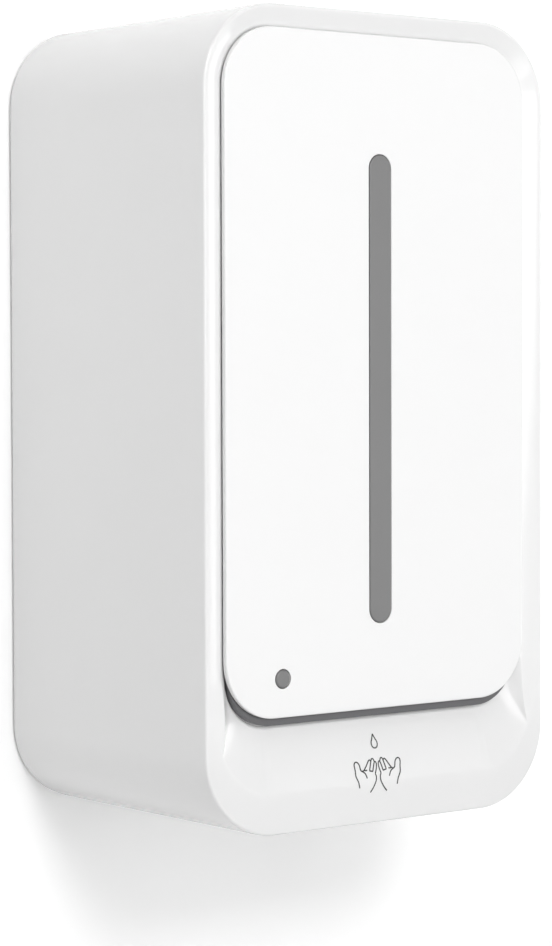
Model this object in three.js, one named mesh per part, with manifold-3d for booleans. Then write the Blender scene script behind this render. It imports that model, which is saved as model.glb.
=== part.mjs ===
// A wall-mounted automatic soap dispenser, as an assembly of separate pieces.
// Millimetres, +Z up. The wall is the plane y = 0 and the dispenser's front faces -Y.
// The origin is the middle of the wall plate's back face.
//
// The deep white cover carries a floating front panel. It turns down on two pins at its rear lower edge,
// and a cam lock in its top holds it shut. The chassis stays on the wall: a wall plate, a soap tank with a
// filler lid, and below it a module with a roller pump, its geared motor, the batteries and the sensor.
import * as THREE from "three";
import { mergeVertices } from "three/addons/utils/BufferGeometryUtils.js";
import Module from "manifold-3d";

const wasm = await Module();
wasm.setup();

// ---------------------------------------------------------------- driving dimensions
const WIDTH = 136;
const HEIGHT = 250;
const DEPTH = 105;
const CORNER = 26; // radius of the cover's four long edges
const WALL = 2.8; // cover wall thickness
const REAR_GAP = 1; // the cover's rear edge stays this far off the wall
const GAP = 0.3; // play between pieces that rest on each other

const HALF_W = WIDTH / 2;
const HALF_H = HEIGHT / 2;
const FRONT = -DEPTH; // y of the cover's front rim

// front panel, and the dish that it floats in; a depth is measured back from the front rim
const PANEL = { side: 8, top: 6.8, bottom: 35.4, corner: 18.3, face: 0.35, thickness: 1.6 };
const RIM = 0.8; // flat rim round the dish at the sides and top
const LIP = { height: 12, radius: 34 }; // flat lip below the dish
const BEVEL = { inset: 6.9, depth: 2 }; // the shallow bevel inside the rim
const POCKET = { inset: 9.6, bottom: 32.5, sideDepth: 3.6, bottomDepth: 5.2, floor: 5.3 };
const SCOOP_POWER = 1.45; // how the scoop below the panel rolls over
const BEVEL_END = 0.41; // share of the lower corner where the bevel has run out into the lip
const CARRIER = { side: 10, bottom: 33, corner: 16, front: 2.25, back: 5 };
const WINDOW = { width: 8.6, bottom: 62.1, top: 206.5 };
const INDICATOR = { x: -38.6, z: -77.8, radius: 2.8 };
const FRONT_WALL = POCKET.floor + WALL; // depth of the cover's inner front face

// hinge, lock and lid
const HINGE = {
  y: -11,
  z: -116,
  pin: 2,
  bore: 2.35,
  eye: 5,
  swing: 10.8, // what turns behind the axis stays inside this radius, clear of the wall
  lugFrom: 40,
  lugTo: 46,
  earFrom: 47.5,
  earTo: 51.5,
};
const LOCK = { y: -24, flange: 8.5, barrel: 6.5, plug: 4.2, cam: 18 };
const LID = { halfWidth: 27, front: -87, axisY: -52, axisZ: 84.6, thickness: 3 };

// chassis blocks: [low x, high x], [low y, high y], [low z, high z]
const TANK = { x: 57, front: -90, rear: -8, bottom: -54, top: 78, wall: 2, corner: 10 };
const MODULE = { x: 55, front: -92, rear: -24, bottom: -111, top: -57, wall: 2 };
const PLATE = { x: 58, bottom: -106, top: 114, corner: 18, thickness: 2.5, rim: 6 };

// pump and its gear pair
const PUMP = { x: -27, z: -85, track: 18, orbit: 12, roller: 4, pin: 1.5, front: -86, rear: -70 };
const GEARS = { module: 0.8, wheelTeeth: 40, pinionTeeth: 12, play: 0.12, front: -69, rear: -65.2 };
const OUTLET = { x: -8, y: -79.5 }; // where soap leaves the tank
const NOZZLE = { x: 0, y: -79 };
const HOSE = 2.5; // outer radius of the silicone hose

// batteries
const CELL = { radius: 7.1, length: 50, pitch: 15.6, x: 34, z: -90, rear: -34 };
const BOX = { left: 16, right: 52, bottom: -108, top: -72, front: -91.4, rear: -28, wall: 1.6 };

// ---------------------------------------------------------------- helpers
const material = (color, roughness, metalness = 0) =>
  new THREE.MeshStandardMaterial({ color, roughness, metalness });
const materials = {
  whiteGloss: material(0xf4f4f2, 0.18),
  carrier: material(0x7c7c7c, 0.5),
  smoke: material(0x8f8f8f, 0.25),
  whiteMatte: material(0xe6e6e2, 0.55),
  greyMatte: material(0x55585c, 0.6),
  tank: material(0xdfe6e8, 0.3),
  silicone: material(0xd9d4c8, 0.6),
  rubber: material(0x202020, 0.8),
  steel: material(0xb9bbbd, 0.35, 1),
  brass: material(0xc2a35a, 0.35, 1),
  acetal: material(0xf0ede2, 0.45),
  board: material(0x1f6b3c, 0.55),
  infrared: material(0x17131c, 0.15),
  cell: material(0x2c3440, 0.4),
};

// A three.js geometry as a manifold-3d solid: only its positions count, and shared vertices are merged.
function solid(geometry) {
  const g = geometry.clone();
  g.deleteAttribute("normal");
  g.deleteAttribute("uv");
  const merged = mergeVertices(g, 1e-4);
  return new wasm.Manifold(
    new wasm.Mesh({
      numProp: 3,
      vertProperties: merged.attributes.position.array,
      triVerts: new Uint32Array(merged.index.array),
    }),
  );
}

// A manifold-3d solid back as a three.js geometry.
function geometryOf(body) {
  const m = body.getMesh();
  const positions = new Float32Array(m.numVert * 3);
  for (let i = 0; i < m.numVert; i++) {
    positions.set(m.vertProperties.subarray(i * m.numProp, i * m.numProp + 3), i * 3);
  }
  return new THREE.BufferGeometry()
    .setAttribute("position", new THREE.BufferAttribute(positions, 3))
    .setIndex(new THREE.BufferAttribute(m.triVerts, 1));
}

function piece(name, body, finish) {
  const mesh = new THREE.Mesh(body.isBufferGeometry ? body : geometryOf(body), finish);
  mesh.name = name;
  return mesh;
}

const box = (x0, x1, y0, y1, z0, z1) =>
  solid(
    new THREE.BoxGeometry(x1 - x0, y1 - y0, z1 - z0).translate((x0 + x1) / 2, (y0 + y1) / 2, (z0 + z1) / 2),
  );

// A flat outline pushed along an axis. Outlines read (x, z) along y, (x, y) along z and (y, z) along x.
// Each arc of the outline gets about `sides` straight sides.
function prism(axis, shape, from, to, sides = 8) {
  const curveSegments = Math.ceil(sides / 2); // an arc is drawn with twice this many sides
  const g = new THREE.ExtrudeGeometry(shape, { depth: to - from, bevelEnabled: false, curveSegments });
  if (axis === "y") g.rotateX(Math.PI / 2).translate(0, to, 0);
  if (axis === "z") g.translate(0, 0, from);
  if (axis === "x") {
    g.applyMatrix4(new THREE.Matrix4().set(0, 0, 1, from, 1, 0, 0, 0, 0, 1, 0, 0, 0, 0, 0, 1));
  }
  return solid(g);
}

function circle(u, v, radius) {
  const s = new THREE.Shape();
  s.absarc(u, v, radius, 0, 2 * Math.PI, false);
  return s;
}

const rod = (axis, u, v, radius, from, to, segments = 24) =>
  prism(axis, circle(u, v, radius), from, to, segments);

const ring = (axis, u, v, outer, inner, from, to, segments = 24) =>
  rod(axis, u, v, outer, from, to, segments).subtract(rod(axis, u, v, inner, from - 1, to + 1, segments));

function roundedRect(u0, u1, v0, v1, r) {
  const s = new THREE.Shape();
  s.moveTo(u0 + r, v0);
  s.lineTo(u1 - r, v0);
  s.absarc(u1 - r, v0 + r, r, -Math.PI / 2, 0, false);
  s.lineTo(u1, v1 - r);
  s.absarc(u1 - r, v1 - r, r, 0, Math.PI / 2, false);
  s.lineTo(u0 + r, v1);
  s.absarc(u0 + r, v1 - r, r, Math.PI / 2, Math.PI, false);
  s.lineTo(u0, v0 + r);
  s.absarc(u0 + r, v0 + r, r, Math.PI, 1.5 * Math.PI, false);
  return s;
}

function polygon(points) {
  return new THREE.Shape(points.map(([u, v]) => new THREE.Vector2(u, v)));
}

// A pan-head screw along y: its head faces -Y and its shank runs back from it.
function screw(x, z, headFront, headRadius, shankRadius, shankRear) {
  const headBack = headFront + headRadius * 0.7;
  return rod("y", x, z, headRadius, headFront, headBack, 16)
    .add(rod("y", x, z, shankRadius, headBack - 0.01, shankRear, 12))
    .subtract(box(x - headRadius, x + headRadius, headFront - 1, headFront + 0.7, z - 0.4, z + 0.4));
}

// ---------------------------------------------------------------- the dish in the cover's front
const ARC_STEPS = 8; // stations in each corner

// Points of one dish contour, as [x, z, depth], starting at the left side and running round by the bottom.
// corner(share, isLower) gives a corner point for the left side, from the side (0) to the end edge (1).
function dishContour(corner) {
  const points = [];
  for (const [mirror, lower] of [[1, true], [-1, true], [-1, false], [1, false]]) {
    const forward = (mirror === 1) === lower;
    for (let i = 0; i <= ARC_STEPS; i++) {
      const share = (forward ? i : ARC_STEPS - i) / ARC_STEPS;
      const [x, z, depth] = corner(share, lower);
      points.push([(x - HALF_W) * mirror, z - HALF_H, depth]);
    }
  }
  return points;
}

// A corner arc of radius r whose side lies `inset` in and whose end edge lies at height `edge`.
function cornerArc(share, lower, inset, edge, r) {
  const angle = (share * Math.PI) / 2;
  const centreZ = lower ? edge + r : edge - r;
  return [inset + r - r * Math.cos(angle), centreZ + (lower ? -1 : 1) * r * Math.sin(angle)];
}

const rimLine = (share, lower) =>
  lower
    ? cornerArc(share, true, RIM, LIP.height, LIP.radius)
    : cornerArc(share, false, RIM, HEIGHT - RIM, CORNER - RIM);

const panelCentre = PANEL.side + PANEL.corner;
const pocketLine = (share, lower, extra = 0) => {
  const inset = POCKET.inset + extra;
  const edge = lower ? POCKET.bottom + extra : HEIGHT + PANEL.side - PANEL.top - inset;
  return cornerArc(share, lower, inset, edge, panelCentre - inset);
};

// The crease where the bevel ends: in the lower corners it bends in and runs out into the lip.
function creaseLine(share, lower) {
  if (!lower) {
    const edge = HEIGHT + PANEL.side - PANEL.top - BEVEL.inset;
    return [...cornerArc(share, false, BEVEL.inset, edge, panelCentre - BEVEL.inset), BEVEL.depth];
  }
  if (share >= BEVEL_END) return [...rimLine(share, true), 0];
  const s = share / BEVEL_END;
  const start = [BEVEL.inset, POCKET.bottom + panelCentre - POCKET.inset];
  const control = [BEVEL.inset + 2.5, LIP.height + 22.4];
  const end = rimLine(BEVEL_END, true);
  const at = (k) => (1 - s) ** 2 * start[k] + 2 * s * (1 - s) * control[k] + s * s * end[k];
  return [at(0), at(1), BEVEL.depth * (1 - s)];
}

// The solid that is taken out of the cover's front: contours joined by strips, with a cap at each end.
function dishCutter() {
  const inFront = dishContour((s, lower) => [...rimLine(s, lower), -3]);
  const rim = dishContour((s, lower) => [...rimLine(s, lower), 0]);
  const contours = [inFront, rim];
  for (const t of [0.001, 0.35, 0.7, 1]) {
    contours.push(
      dishContour((share, lower) => {
        const [ax, az, ad] = creaseLine(share, lower);
        const [px, pz] = pocketLine(share, lower);
        const depth = lower
          ? POCKET.sideDepth + (POCKET.bottomDepth - POCKET.sideDepth) * Math.min(1, share / BEVEL_END)
          : POCKET.sideDepth;
        return [ax + (px - ax) * t, az + (pz - az) * t, ad + (depth - ad) * t ** SCOOP_POWER];
      }),
    );
  }
  contours.push(dishContour((s, lower) => [...pocketLine(s, lower, 0.1), POCKET.floor]));
  const count = rim.length;
  const positions = contours.flat().flatMap(([x, z, depth]) => [x, FRONT + depth, z]);
  const index = [];
  for (let c = 0; c + 1 < contours.length; c++) {
    for (let i = 0; i < count; i++) {
      const a = c * count + i;
      const b = c * count + ((i + 1) % count);
      index.push(a, a + count, b, b, a + count, b + count);
    }
  }
  const last = (contours.length - 1) * count;
  const middle = positions.length / 3;
  positions.push(0, FRONT - 3, 0, 0, FRONT + POCKET.floor, 0);
  for (let i = 0; i < count; i++) {
    const j = (i + 1) % count;
    index.push(middle, i, j, middle + 1, last + j, last + i);
  }
  const g = new THREE.BufferGeometry()
    .setAttribute("position", new THREE.BufferAttribute(new Float32Array(positions), 3))
    .setIndex(index);
  return solid(g);
}

// ---------------------------------------------------------------- cover
function windowSlot(play, from, to) {
  const half = WINDOW.width / 2 + play;
  const low = WINDOW.bottom - HALF_H - play;
  return prism("y", roundedRect(-half, half, low, WINDOW.top - HALF_H + play, half - 0.01), from, to, 8);
}

const indicatorRod = (radius, from, to) => rod("y", INDICATOR.x, INDICATOR.z, radius, from, to, 10);

function coverShell() {
  const inner = CORNER - WALL;
  const outline = roundedRect(-HALF_W, HALF_W, -HALF_H, HALF_H, CORNER);
  let shell = prism("y", outline, FRONT, -REAR_GAP, 10);
  const cavity = roundedRect(WALL - HALF_W, HALF_W - WALL, WALL - HALF_H, HALF_H - WALL, inner);
  shell = shell.subtract(prism("y", cavity, FRONT + FRONT_WALL, 1, 10));
  shell = shell.subtract(dishCutter());
  // the lip is cored out from behind so that its wall stays as thin as the rest
  shell = shell.subtract(box(-40, 40, FRONT + 3, FRONT + FRONT_WALL + 1, WALL - HALF_H, 11 - HALF_H));
  shell = shell.subtract(windowSlot(GAP, FRONT - 1, FRONT + FRONT_WALL + 1));
  shell = shell.subtract(indicatorRod(INDICATOR.radius + GAP, FRONT - 1, FRONT + FRONT_WALL + 1));
  // lock hole with a seat for the flange
  shell = shell.subtract(rod("z", 0, LOCK.y, LOCK.barrel + GAP, HALF_H - WALL - 1, HALF_H + 1));
  shell = shell.subtract(rod("z", 0, LOCK.y, LOCK.flange + GAP, HALF_H - 1.7, HALF_H + 1));
  // opening in the bottom for the nozzle tray
  shell = shell.subtract(box(-25.8, 25.8, -91.9, -44.4, -HALF_H - 1, WALL - HALF_H + 1));
  shell = shell.subtract(swingRelief());
  for (const side of [-1, 1]) shell = shell.add(hingeEar(side));
  return piece("cover_shell", shell, materials.whiteGloss);
}

// The rear lower edge is rounded about the hinge axis, so that it swings past the wall.
function swingRelief() {
  const { y, z, swing } = HINGE;
  const reach = HALF_W + 1;
  return box(-reach, reach, y, 0, -HALF_H - 1, z).subtract(rod("x", y, z, swing, -reach - 1, reach + 1, 48));
}

// An eye that stands on the cover's bottom wall and turns on the hinge pin.
function hingeEar(side) {
  const { y, z, eye, bore, earFrom, earTo } = HINGE;
  const [from, to] = side < 0 ? [-earTo, -earFrom] : [earFrom, earTo];
  const eyeRod = rod("x", y, z, eye, from, to, 20).add(box(from, to, y - eye, y + eye, -HALF_H + 3.2, z));
  return eyeRod.subtract(rod("x", y, z, bore, from - 1, to + 1, 20));
}

function frontPanel() {
  const { side, top, bottom, corner, face, thickness } = PANEL;
  const outline = roundedRect(side - HALF_W, HALF_W - side, bottom - HALF_H, HALF_H - top, corner);
  const plate = prism("y", outline, FRONT + face, FRONT + face + thickness, 10)
    .subtract(windowSlot(GAP, FRONT - 1, FRONT + 6))
    .subtract(indicatorRod(INDICATOR.radius + GAP, FRONT - 1, FRONT + 6));
  return piece("front_panel", plate, materials.whiteGloss);
}

function panelCarrier() {
  const { side, bottom, corner, front, back } = CARRIER;
  const top = HALF_H - PANEL.top - (side - PANEL.side);
  const outline = roundedRect(side - HALF_W, HALF_W - side, bottom - HALF_H, top, corner);
  const plate = prism("y", outline, FRONT + front, FRONT + back, 8)
    .subtract(windowSlot(GAP, FRONT - 1, FRONT + 6))
    .subtract(indicatorRod(INDICATOR.radius + GAP, FRONT - 1, FRONT + 6));
  return piece("panel_carrier", plate, materials.carrier);
}

const levelWindow = () => piece("level_window", windowSlot(0, FRONT, FRONT + FRONT_WALL), materials.smoke);
const indicatorLens = () =>
  piece("indicator_lens", indicatorRod(INDICATOR.radius, FRONT, FRONT + FRONT_WALL), materials.smoke);

function lockBarrel() {
  const body = rod("z", 0, LOCK.y, LOCK.flange, HALF_H - 1.4, HALF_H)
    .add(rod("z", 0, LOCK.y, LOCK.barrel, 110, HALF_H - 1))
    .subtract(rod("z", 0, LOCK.y, LOCK.plug + GAP, 100, HALF_H + 1));
  return piece("lock_barrel", body, materials.steel);
}

function lockNut() {
  const hex = polygon([0, 1, 2, 3, 4, 5].map((i) => [
    10 * Math.cos((i * Math.PI) / 3),
    LOCK.y + 10 * Math.sin((i * Math.PI) / 3),
  ]));
  const hole = rod("z", 0, LOCK.y, LOCK.barrel + GAP, 100, 130);
  const nut = prism("z", hex, 117, HALF_H - WALL - GAP).subtract(hole);
  return piece("lock_nut", nut, materials.steel);
}

// ---------------------------------------------------------------- lock, unlocked at rest
function lockPlug() {
  const body = rod("z", 0, LOCK.y, LOCK.plug, 109.3, HALF_H - 0.4, 20)
    .add(rod("z", 0, LOCK.y, 2.5, 106.6, 109.4, 16))
    .subtract(box(-0.6, 0.6, LOCK.y - 3, LOCK.y + 3, HALF_H - 4, HALF_H));
  return piece("lock_plug", body, materials.brass);
}

function lockCam() {
  const blade = new THREE.Shape();
  blade.absarc(0, LOCK.y, 5.5, Math.PI, 2 * Math.PI, false);
  blade.lineTo(4, LOCK.y + LOCK.cam - 4);
  blade.absarc(0, LOCK.y + LOCK.cam - 4, 4, 0, Math.PI, false);
  const cam = prism("z", blade, 107, 109, 8).subtract(rod("z", 0, LOCK.y, 2.8, 100, 112, 16));
  return piece("lock_cam", cam, materials.steel);
}

function camScrew() {
  const head = rod("z", 0, LOCK.y, 4.2, 104.2, 106.3, 16);
  const slot = box(-5, 5, LOCK.y - 0.5, LOCK.y + 0.5, 103, 105);
  return piece("cam_screw", head.subtract(slot), materials.steel);
}

// ---------------------------------------------------------------- wall plate, hinge pins, lock keeper
const KEYHOLES = [[-42, 97], [42, 97], [-42, -34], [42, -34]];

function wallPlate() {
  const { x, bottom, top, corner, thickness, rim } = PLATE;
  let plate = prism("y", roundedRect(-x, x, bottom, top, corner), -rim, 0, 6);
  const inside = roundedRect(-x + 2, x - 2, bottom + 2, top - 2, corner - 2);
  plate = plate.subtract(prism("y", inside, -rim - 1, -thickness, 6));
  for (const [u, v] of KEYHOLES) {
    plate = plate.subtract(rod("y", u, v, 4.6, -rim, 1, 16));
    plate = plate.subtract(rod("y", u, v + 7, 2.4, -rim, 1, 12));
    plate = plate.subtract(box(u - 2.4, u + 2.4, -rim, 1, v, v + 7));
  }
  for (const side of [-1, 1]) plate = plate.add(hingeLug(side));
  plate = plate.add(rod("y", 0, 20, 9, -thickness - 2, -thickness + 0.1, 20)); // level mark boss
  return piece("wall_plate", plate, materials.whiteMatte);
}

function hingeLug(side) {
  const { y, z, eye, bore, lugFrom, lugTo } = HINGE;
  const [from, to] = side < 0 ? [-lugTo, -lugFrom] : [lugFrom, lugTo];
  const root = { top: -95, bottom: -105 }; // where the lug grows out of the plate
  const profile = polygon([
    [0, root.top],
    [y - eye, root.top],
    [y - eye, z],
    [y + eye, z],
    [y + eye, root.bottom],
    [0, root.bottom],
  ]);
  return prism("x", profile, from, to)
    .add(rod("x", y, z, eye, from, to, 20))
    .subtract(rod("x", y, z, bore, from - 1, to + 1, 20));
}

const hingePin = (name, from, to) =>
  piece(name, rod("x", HINGE.y, HINGE.z, HINGE.pin, from, to, 20), materials.steel);

function lockKeeper() {
  const back = -PLATE.thickness - GAP;
  const sheet = 2; // thickness of the bent strip
  const hook = polygon([
    [24, back],
    [36, back],
    [36, back - sheet],
    [24 + sheet, back - sheet],
    [24 + sheet, -33],
    [8.5, -33],
    [8.5, -33 + sheet],
    [24, -33 + sheet],
  ]);
  const holes = rod("y", 31, 109, 1.9, -8, 0, 12).add(rod("y", 31, 102, 1.9, -8, 0, 12));
  return piece("lock_keeper", prism("z", hook, 98, 112).subtract(holes), materials.steel);
}

// ---------------------------------------------------------------- tank
function tankBody() {
  const { x, front, rear, bottom, top, wall, corner } = TANK;
  let tank = prism("z", roundedRect(-x, x, front, rear, corner), bottom, top, 6);
  const inside = roundedRect(-x + wall, x - wall, front + wall, rear - wall, corner - wall);
  tank = tank.subtract(prism("z", inside, bottom + wall, top + 1, 6));
  tank = tank.add(rod("z", OUTLET.x, OUTLET.y, 6, -61, bottom + 1));
  tank = tank.subtract(rod("z", OUTLET.x, OUTLET.y, 3.8, -63, bottom + wall + 1));
  return piece("tank_body", tank, materials.tank);
}

function tankSeal() {
  const { x, front, rear, top, wall, corner } = TANK;
  const outer = roundedRect(-x + 0.2, x - 0.2, front + 0.2, rear - 0.2, corner - 0.2);
  const rib = wall - 0.2;
  const inner = roundedRect(-x + rib, x - rib, front + rib, rear - rib, corner - wall);
  const seal = prism("z", outer, top + 0.2, top + 1, 6).subtract(prism("z", inner, top, top + 2, 6));
  return piece("tank_seal", seal, materials.rubber);
}

const FILL_HOLE = { x: 24, front: -84, rear: -57 };
const DECK = { bottom: TANK.top + 1.2, top: TANK.top + 3.6 };

function tankTop() {
  const { x, front, rear, corner } = TANK;
  let deck = prism("z", roundedRect(-x, x, front, rear, corner), DECK.bottom, DECK.top, 6);
  deck = deck.subtract(
    prism("z", roundedRect(-FILL_HOLE.x, FILL_HOLE.x, FILL_HOLE.front, FILL_HOLE.rear, 4), 70, 90, 4),
  );
  for (const side of [-1, 1]) {
    const [from, to] = side < 0 ? [-32, -29] : [29, 32];
    const knuckle = rod("x", LID.axisY, LID.axisZ, 3, from, to, 16).add(
      box(from, to, LID.axisY - 3, LID.axisY + 3, DECK.top - 0.5, LID.axisZ),
    );
    deck = deck.add(knuckle.subtract(rod("x", LID.axisY, LID.axisZ, 1.6, from - 1, to + 1, 16)));
  }
  deck = deck.add(box(-1.5, 1.5, -40, -14, DECK.top - 0.1, DECK.top + 1.5)); // stiffening rib
  return piece("tank_top", deck, materials.whiteMatte);
}

function fillLid() {
  const low = DECK.top + GAP;
  const flap = prism("z", roundedRect(-LID.halfWidth, LID.halfWidth, LID.front, LID.axisY, 4), low,
    low + LID.thickness, 4);
  const trunnion = rod("x", LID.axisY, LID.axisZ, 1.3, -31.5, 31.5, 16);
  const barrel = rod("x", LID.axisY, LID.axisZ, 2.5, -28.6, 28.6, 16);
  const thumb = box(-8, 8, LID.front - 2, LID.front + 2, low + 1, low + LID.thickness);
  return piece("fill_lid", flap.add(barrel).add(trunnion).add(thumb), materials.whiteMatte);
}

function lidGasket() {
  const { x, front, rear } = FILL_HOLE;
  const top = DECK.top + 0.05;
  const outer = roundedRect(-x + 0.5, x - 0.5, front + 0.5, rear - 0.5, 3.5);
  const inner = roundedRect(-x + 2.5, x - 2.5, front + 2.5, rear - 2.5, 2);
  const gasket = prism("z", outer, top - 2, top, 4).subtract(prism("z", inner, 70, 90, 4));
  return piece("lid_gasket", gasket, materials.rubber);
}

// ---------------------------------------------------------------- soap path
function outletFitting() {
  const { x, y } = OUTLET;
  const body = rod("z", x, y, 3.2, -62.6, -52, 20)
    .add(rod("z", x, y, 5.5, -63.4, -61.4, 20))
    .subtract(rod("z", x, y, 1.6, -70, -40, 12));
  return piece("outlet_fitting", body, materials.acetal);
}

const outletSeal = () =>
  piece("outlet_o_ring", ring("z", OUTLET.x, OUTLET.y, 3.7, 3.35, -58, -56.4, 20), materials.rubber);

// A hose run: a round section drawn along a smooth line through the points.
function hoseRun(points, steps) {
  const places = points.map((p) => new THREE.Vector3(...p));
  const extrudePath = new THREE.CatmullRomCurve3(places, false, "centripetal");
  const settings = { extrudePath, steps, curveSegments: 4, bevelEnabled: false };
  return solid(new THREE.ExtrudeGeometry(circle(0, 0, HOSE), settings));
}

// The hose comes down from the tank, lies flattened round the pump's track, and leaves towards the nozzle.
function pumpHose() {
  const { x, z } = PUMP;
  const middle = (PUMP.front + PUMP.rear - 2) / 2 - 0.5;
  const outer = 17.65;
  const inner = 16.35;
  const radius = (outer + inner) / 2;
  const bend = 10; // where the flattened band begins, right of the pump's axis
  const band = new THREE.Shape();
  band.moveTo(x + bend, z - outer);
  band.lineTo(x, z - outer);
  band.absarc(x, z, outer, -Math.PI / 2, Math.PI / 2, true);
  band.lineTo(x + bend, z + outer);
  band.lineTo(x + bend, z + inner);
  band.lineTo(x, z + inner);
  band.absarc(x, z, inner, Math.PI / 2, -Math.PI / 2, false);
  band.lineTo(x + bend, z - inner);
  const flat = prism("y", band, middle - 4, middle + 4, 16);
  const inlet = hoseRun([
    [OUTLET.x, OUTLET.y, -64],
    [OUTLET.x, middle, -65.4],
    [OUTLET.x - 2.2, middle, z + radius + 0.4],
    [OUTLET.x - 7, middle, z + radius],
    [x + bend - 0.5, middle, z + radius],
  ], 14);
  const delivery = hoseRun([
    [x + bend - 0.5, middle, z - radius],
    [NOZZLE.x - 8, middle, z - radius],
    [NOZZLE.x - 2.6, middle, z - radius - 1],
    [NOZZLE.x - 0.2, NOZZLE.y, z - radius - 4.6],
    [NOZZLE.x, NOZZLE.y, -111],
  ], 14);
  return piece("pump_hose", flat.add(inlet).add(delivery), materials.silicone);
}

function nozzle() {
  const { x, y } = NOZZLE;
  const body = rod("z", x, y, 5, -124, -112, 20)
    .add(rod("z", x, y, 7.5, -121.6, -119.6, 20))
    .subtract(rod("z", x, y, 2.9, -115.6, -111, 16))
    .subtract(rod("z", x, y, 1.6, -130, -110, 12))
    .subtract(rod("z", x, y, 3.6, -125, -118, 16));
  return piece("nozzle", body, materials.acetal);
}

function nozzleValve() {
  const { x, y } = NOZZLE;
  const bill = new THREE.LatheGeometry(
    [[0.5, 5.2], [0.5, 0.3], [1.5, 0.3], [2.4, 3.4], [3.2, 3.8], [3.2, 5.2], [0.5, 5.2]].map(
      ([r, h]) => new THREE.Vector2(r, h)),
    16,
  );
  return piece("nozzle_valve", solid(bill.rotateX(Math.PI / 2).translate(x, y, -123.9)), materials.silicone);
}

// ---------------------------------------------------------------- roller pump
function pumpHousing() {
  const { x, z, track, front, rear } = PUMP;
  let housing = prism("y", roundedRect(...PUMP_OUTLINE), front, rear, 4);
  housing = housing.subtract(rod("y", x, z, track, front - 1, rear - 2, 32));
  housing = housing.subtract(rod("y", x, z, 2.6, front, rear + 1, 16));
  for (const end of [-1, 1]) {
    const [low, high] = end < 0 ? [z - 20, z - 14] : [z + 14, z + 20];
    housing = housing.subtract(box(x, x + 26, front - 1, rear - 3, low, high));
    housing = housing.add(rod("y", x - 17, z + end * 17.6, 2.6, rear - 1, rear + 5.2, 12));
  }
  housing = housing.subtract(box(OUTLET.x - 3, OUTLET.x + 3, front - 1, rear - 3, z + 15, z + 23));
  for (const [u, v] of PUMP_SCREWS) housing = housing.subtract(rod("y", u, v, 1.6, front - 1, rear - 3, 12));
  return piece("pump_housing", housing, materials.greyMatte);
}

const PUMP_OUTLINE = [PUMP.x - 20, PUMP.x + 23, PUMP.z - 21, PUMP.z + 21, 4];
const PUMP_SCREWS = [[PUMP.x - 17, PUMP.z + 17.6], [PUMP.x + 20.4, PUMP.z]];

function pumpLid() {
  const { x, z, front } = PUMP;
  let lid = prism("y", roundedRect(...PUMP_OUTLINE), front - 2.3, front - GAP, 4);
  lid = lid.subtract(rod("y", x, z, 2.6, front - 3, front, 16));
  for (const [u, v] of PUMP_SCREWS) lid = lid.subtract(rod("y", u, v, 1.6, front - 3, front, 12));
  return piece("pump_lid", lid, materials.tank);
}

// Two carrier discs on one shaft, with three pins that the rollers turn on.
function pumpRotor() {
  const { x, z, orbit, pin, front, rear } = PUMP;
  let rotor = rod("y", x, z, 2.2, front - 2.2, -62.8, 16);
  rotor = rotor.add(rod("y", x, z, 14.5, rear - 4.4, rear - 2.6, 28));
  rotor = rotor.add(rod("y", x, z, 5, front + 0.6, rear - 3, 16));
  for (const [u, v] of rollerCentres()) rotor = rotor.add(rod("y", u, v, pin, front + 1.4, rear - 3, 12));
  return piece("pump_rotor", rotor, materials.acetal);
}

function rollerCentres() {
  return [0, 1, 2].map((i) => {
    const angle = Math.PI / 2 + (i * 2 * Math.PI) / 3;
    return [PUMP.x + PUMP.orbit * Math.cos(angle), PUMP.z + PUMP.orbit * Math.sin(angle)];
  });
}

function roller(i) {
  const [u, v] = rollerCentres()[i];
  const body = ring("y", u, v, PUMP.roller, PUMP.pin + GAP, PUMP.front + 1.6, PUMP.rear - 4.8, 20);
  return piece(`pump_roller_${i + 1}`, body, materials.acetal);
}

// The outline of a spur gear with involute flanks, turned by `phase`, round the centre (u, v).
function gearOutline(teeth, u, v, phase) {
  const m = GEARS.module;
  const pitch = (m * teeth) / 2;
  const base = pitch * Math.cos(Math.PI / 9); // 20 degree pressure angle
  const tip = pitch + 0.92 * m;
  const root = pitch - 1.25 * m;
  const involute = (r) => {
    const a = Math.sqrt(Math.max(0, (r / base) ** 2 - 1));
    return a - Math.atan(a);
  };
  const halfTooth = Math.PI / (2 * teeth) - GEARS.play / (2 * pitch) + involute(pitch);
  const points = [];
  for (let i = 0; i < teeth; i++) {
    const centre = phase + (i * 2 * Math.PI) / teeth;
    const flank = [root, (base + tip) / 2, tip];
    for (const r of flank) points.push([r, centre - halfTooth + involute(r)]);
    for (const r of flank.reverse()) points.push([r, centre + halfTooth - involute(r)]);
  }
  return polygon(points.map(([r, a]) => [u + r * Math.cos(a), v + r * Math.sin(a)]));
}

const axleGap = (GEARS.module * (GEARS.wheelTeeth + GEARS.pinionTeeth)) / 2 + 0.1;
const MOTOR = { x: PUMP.x + axleGap, z: PUMP.z };

function driveGear() {
  const outline = gearOutline(GEARS.wheelTeeth, PUMP.x, PUMP.z, 0);
  const gear = prism("y", outline, GEARS.front, GEARS.rear)
    .subtract(rod("y", PUMP.x, PUMP.z, 2.2 + GAP, -75, -60, 16));
  return piece("drive_gear", gear, materials.acetal);
}

function motorPinion() {
  const halfSpace = Math.PI / GEARS.pinionTeeth; // a tooth gap of the pinion faces the wheel's first tooth
  const outline = gearOutline(GEARS.pinionTeeth, MOTOR.x, MOTOR.z, Math.PI + halfSpace);
  const gear = prism("y", outline, GEARS.front, GEARS.rear)
    .add(rod("y", MOTOR.x, MOTOR.z, 1, GEARS.front - 0.6, -44, 12)); // the motor's own shaft
  return piece("motor_pinion", gear, materials.brass);
}

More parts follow.
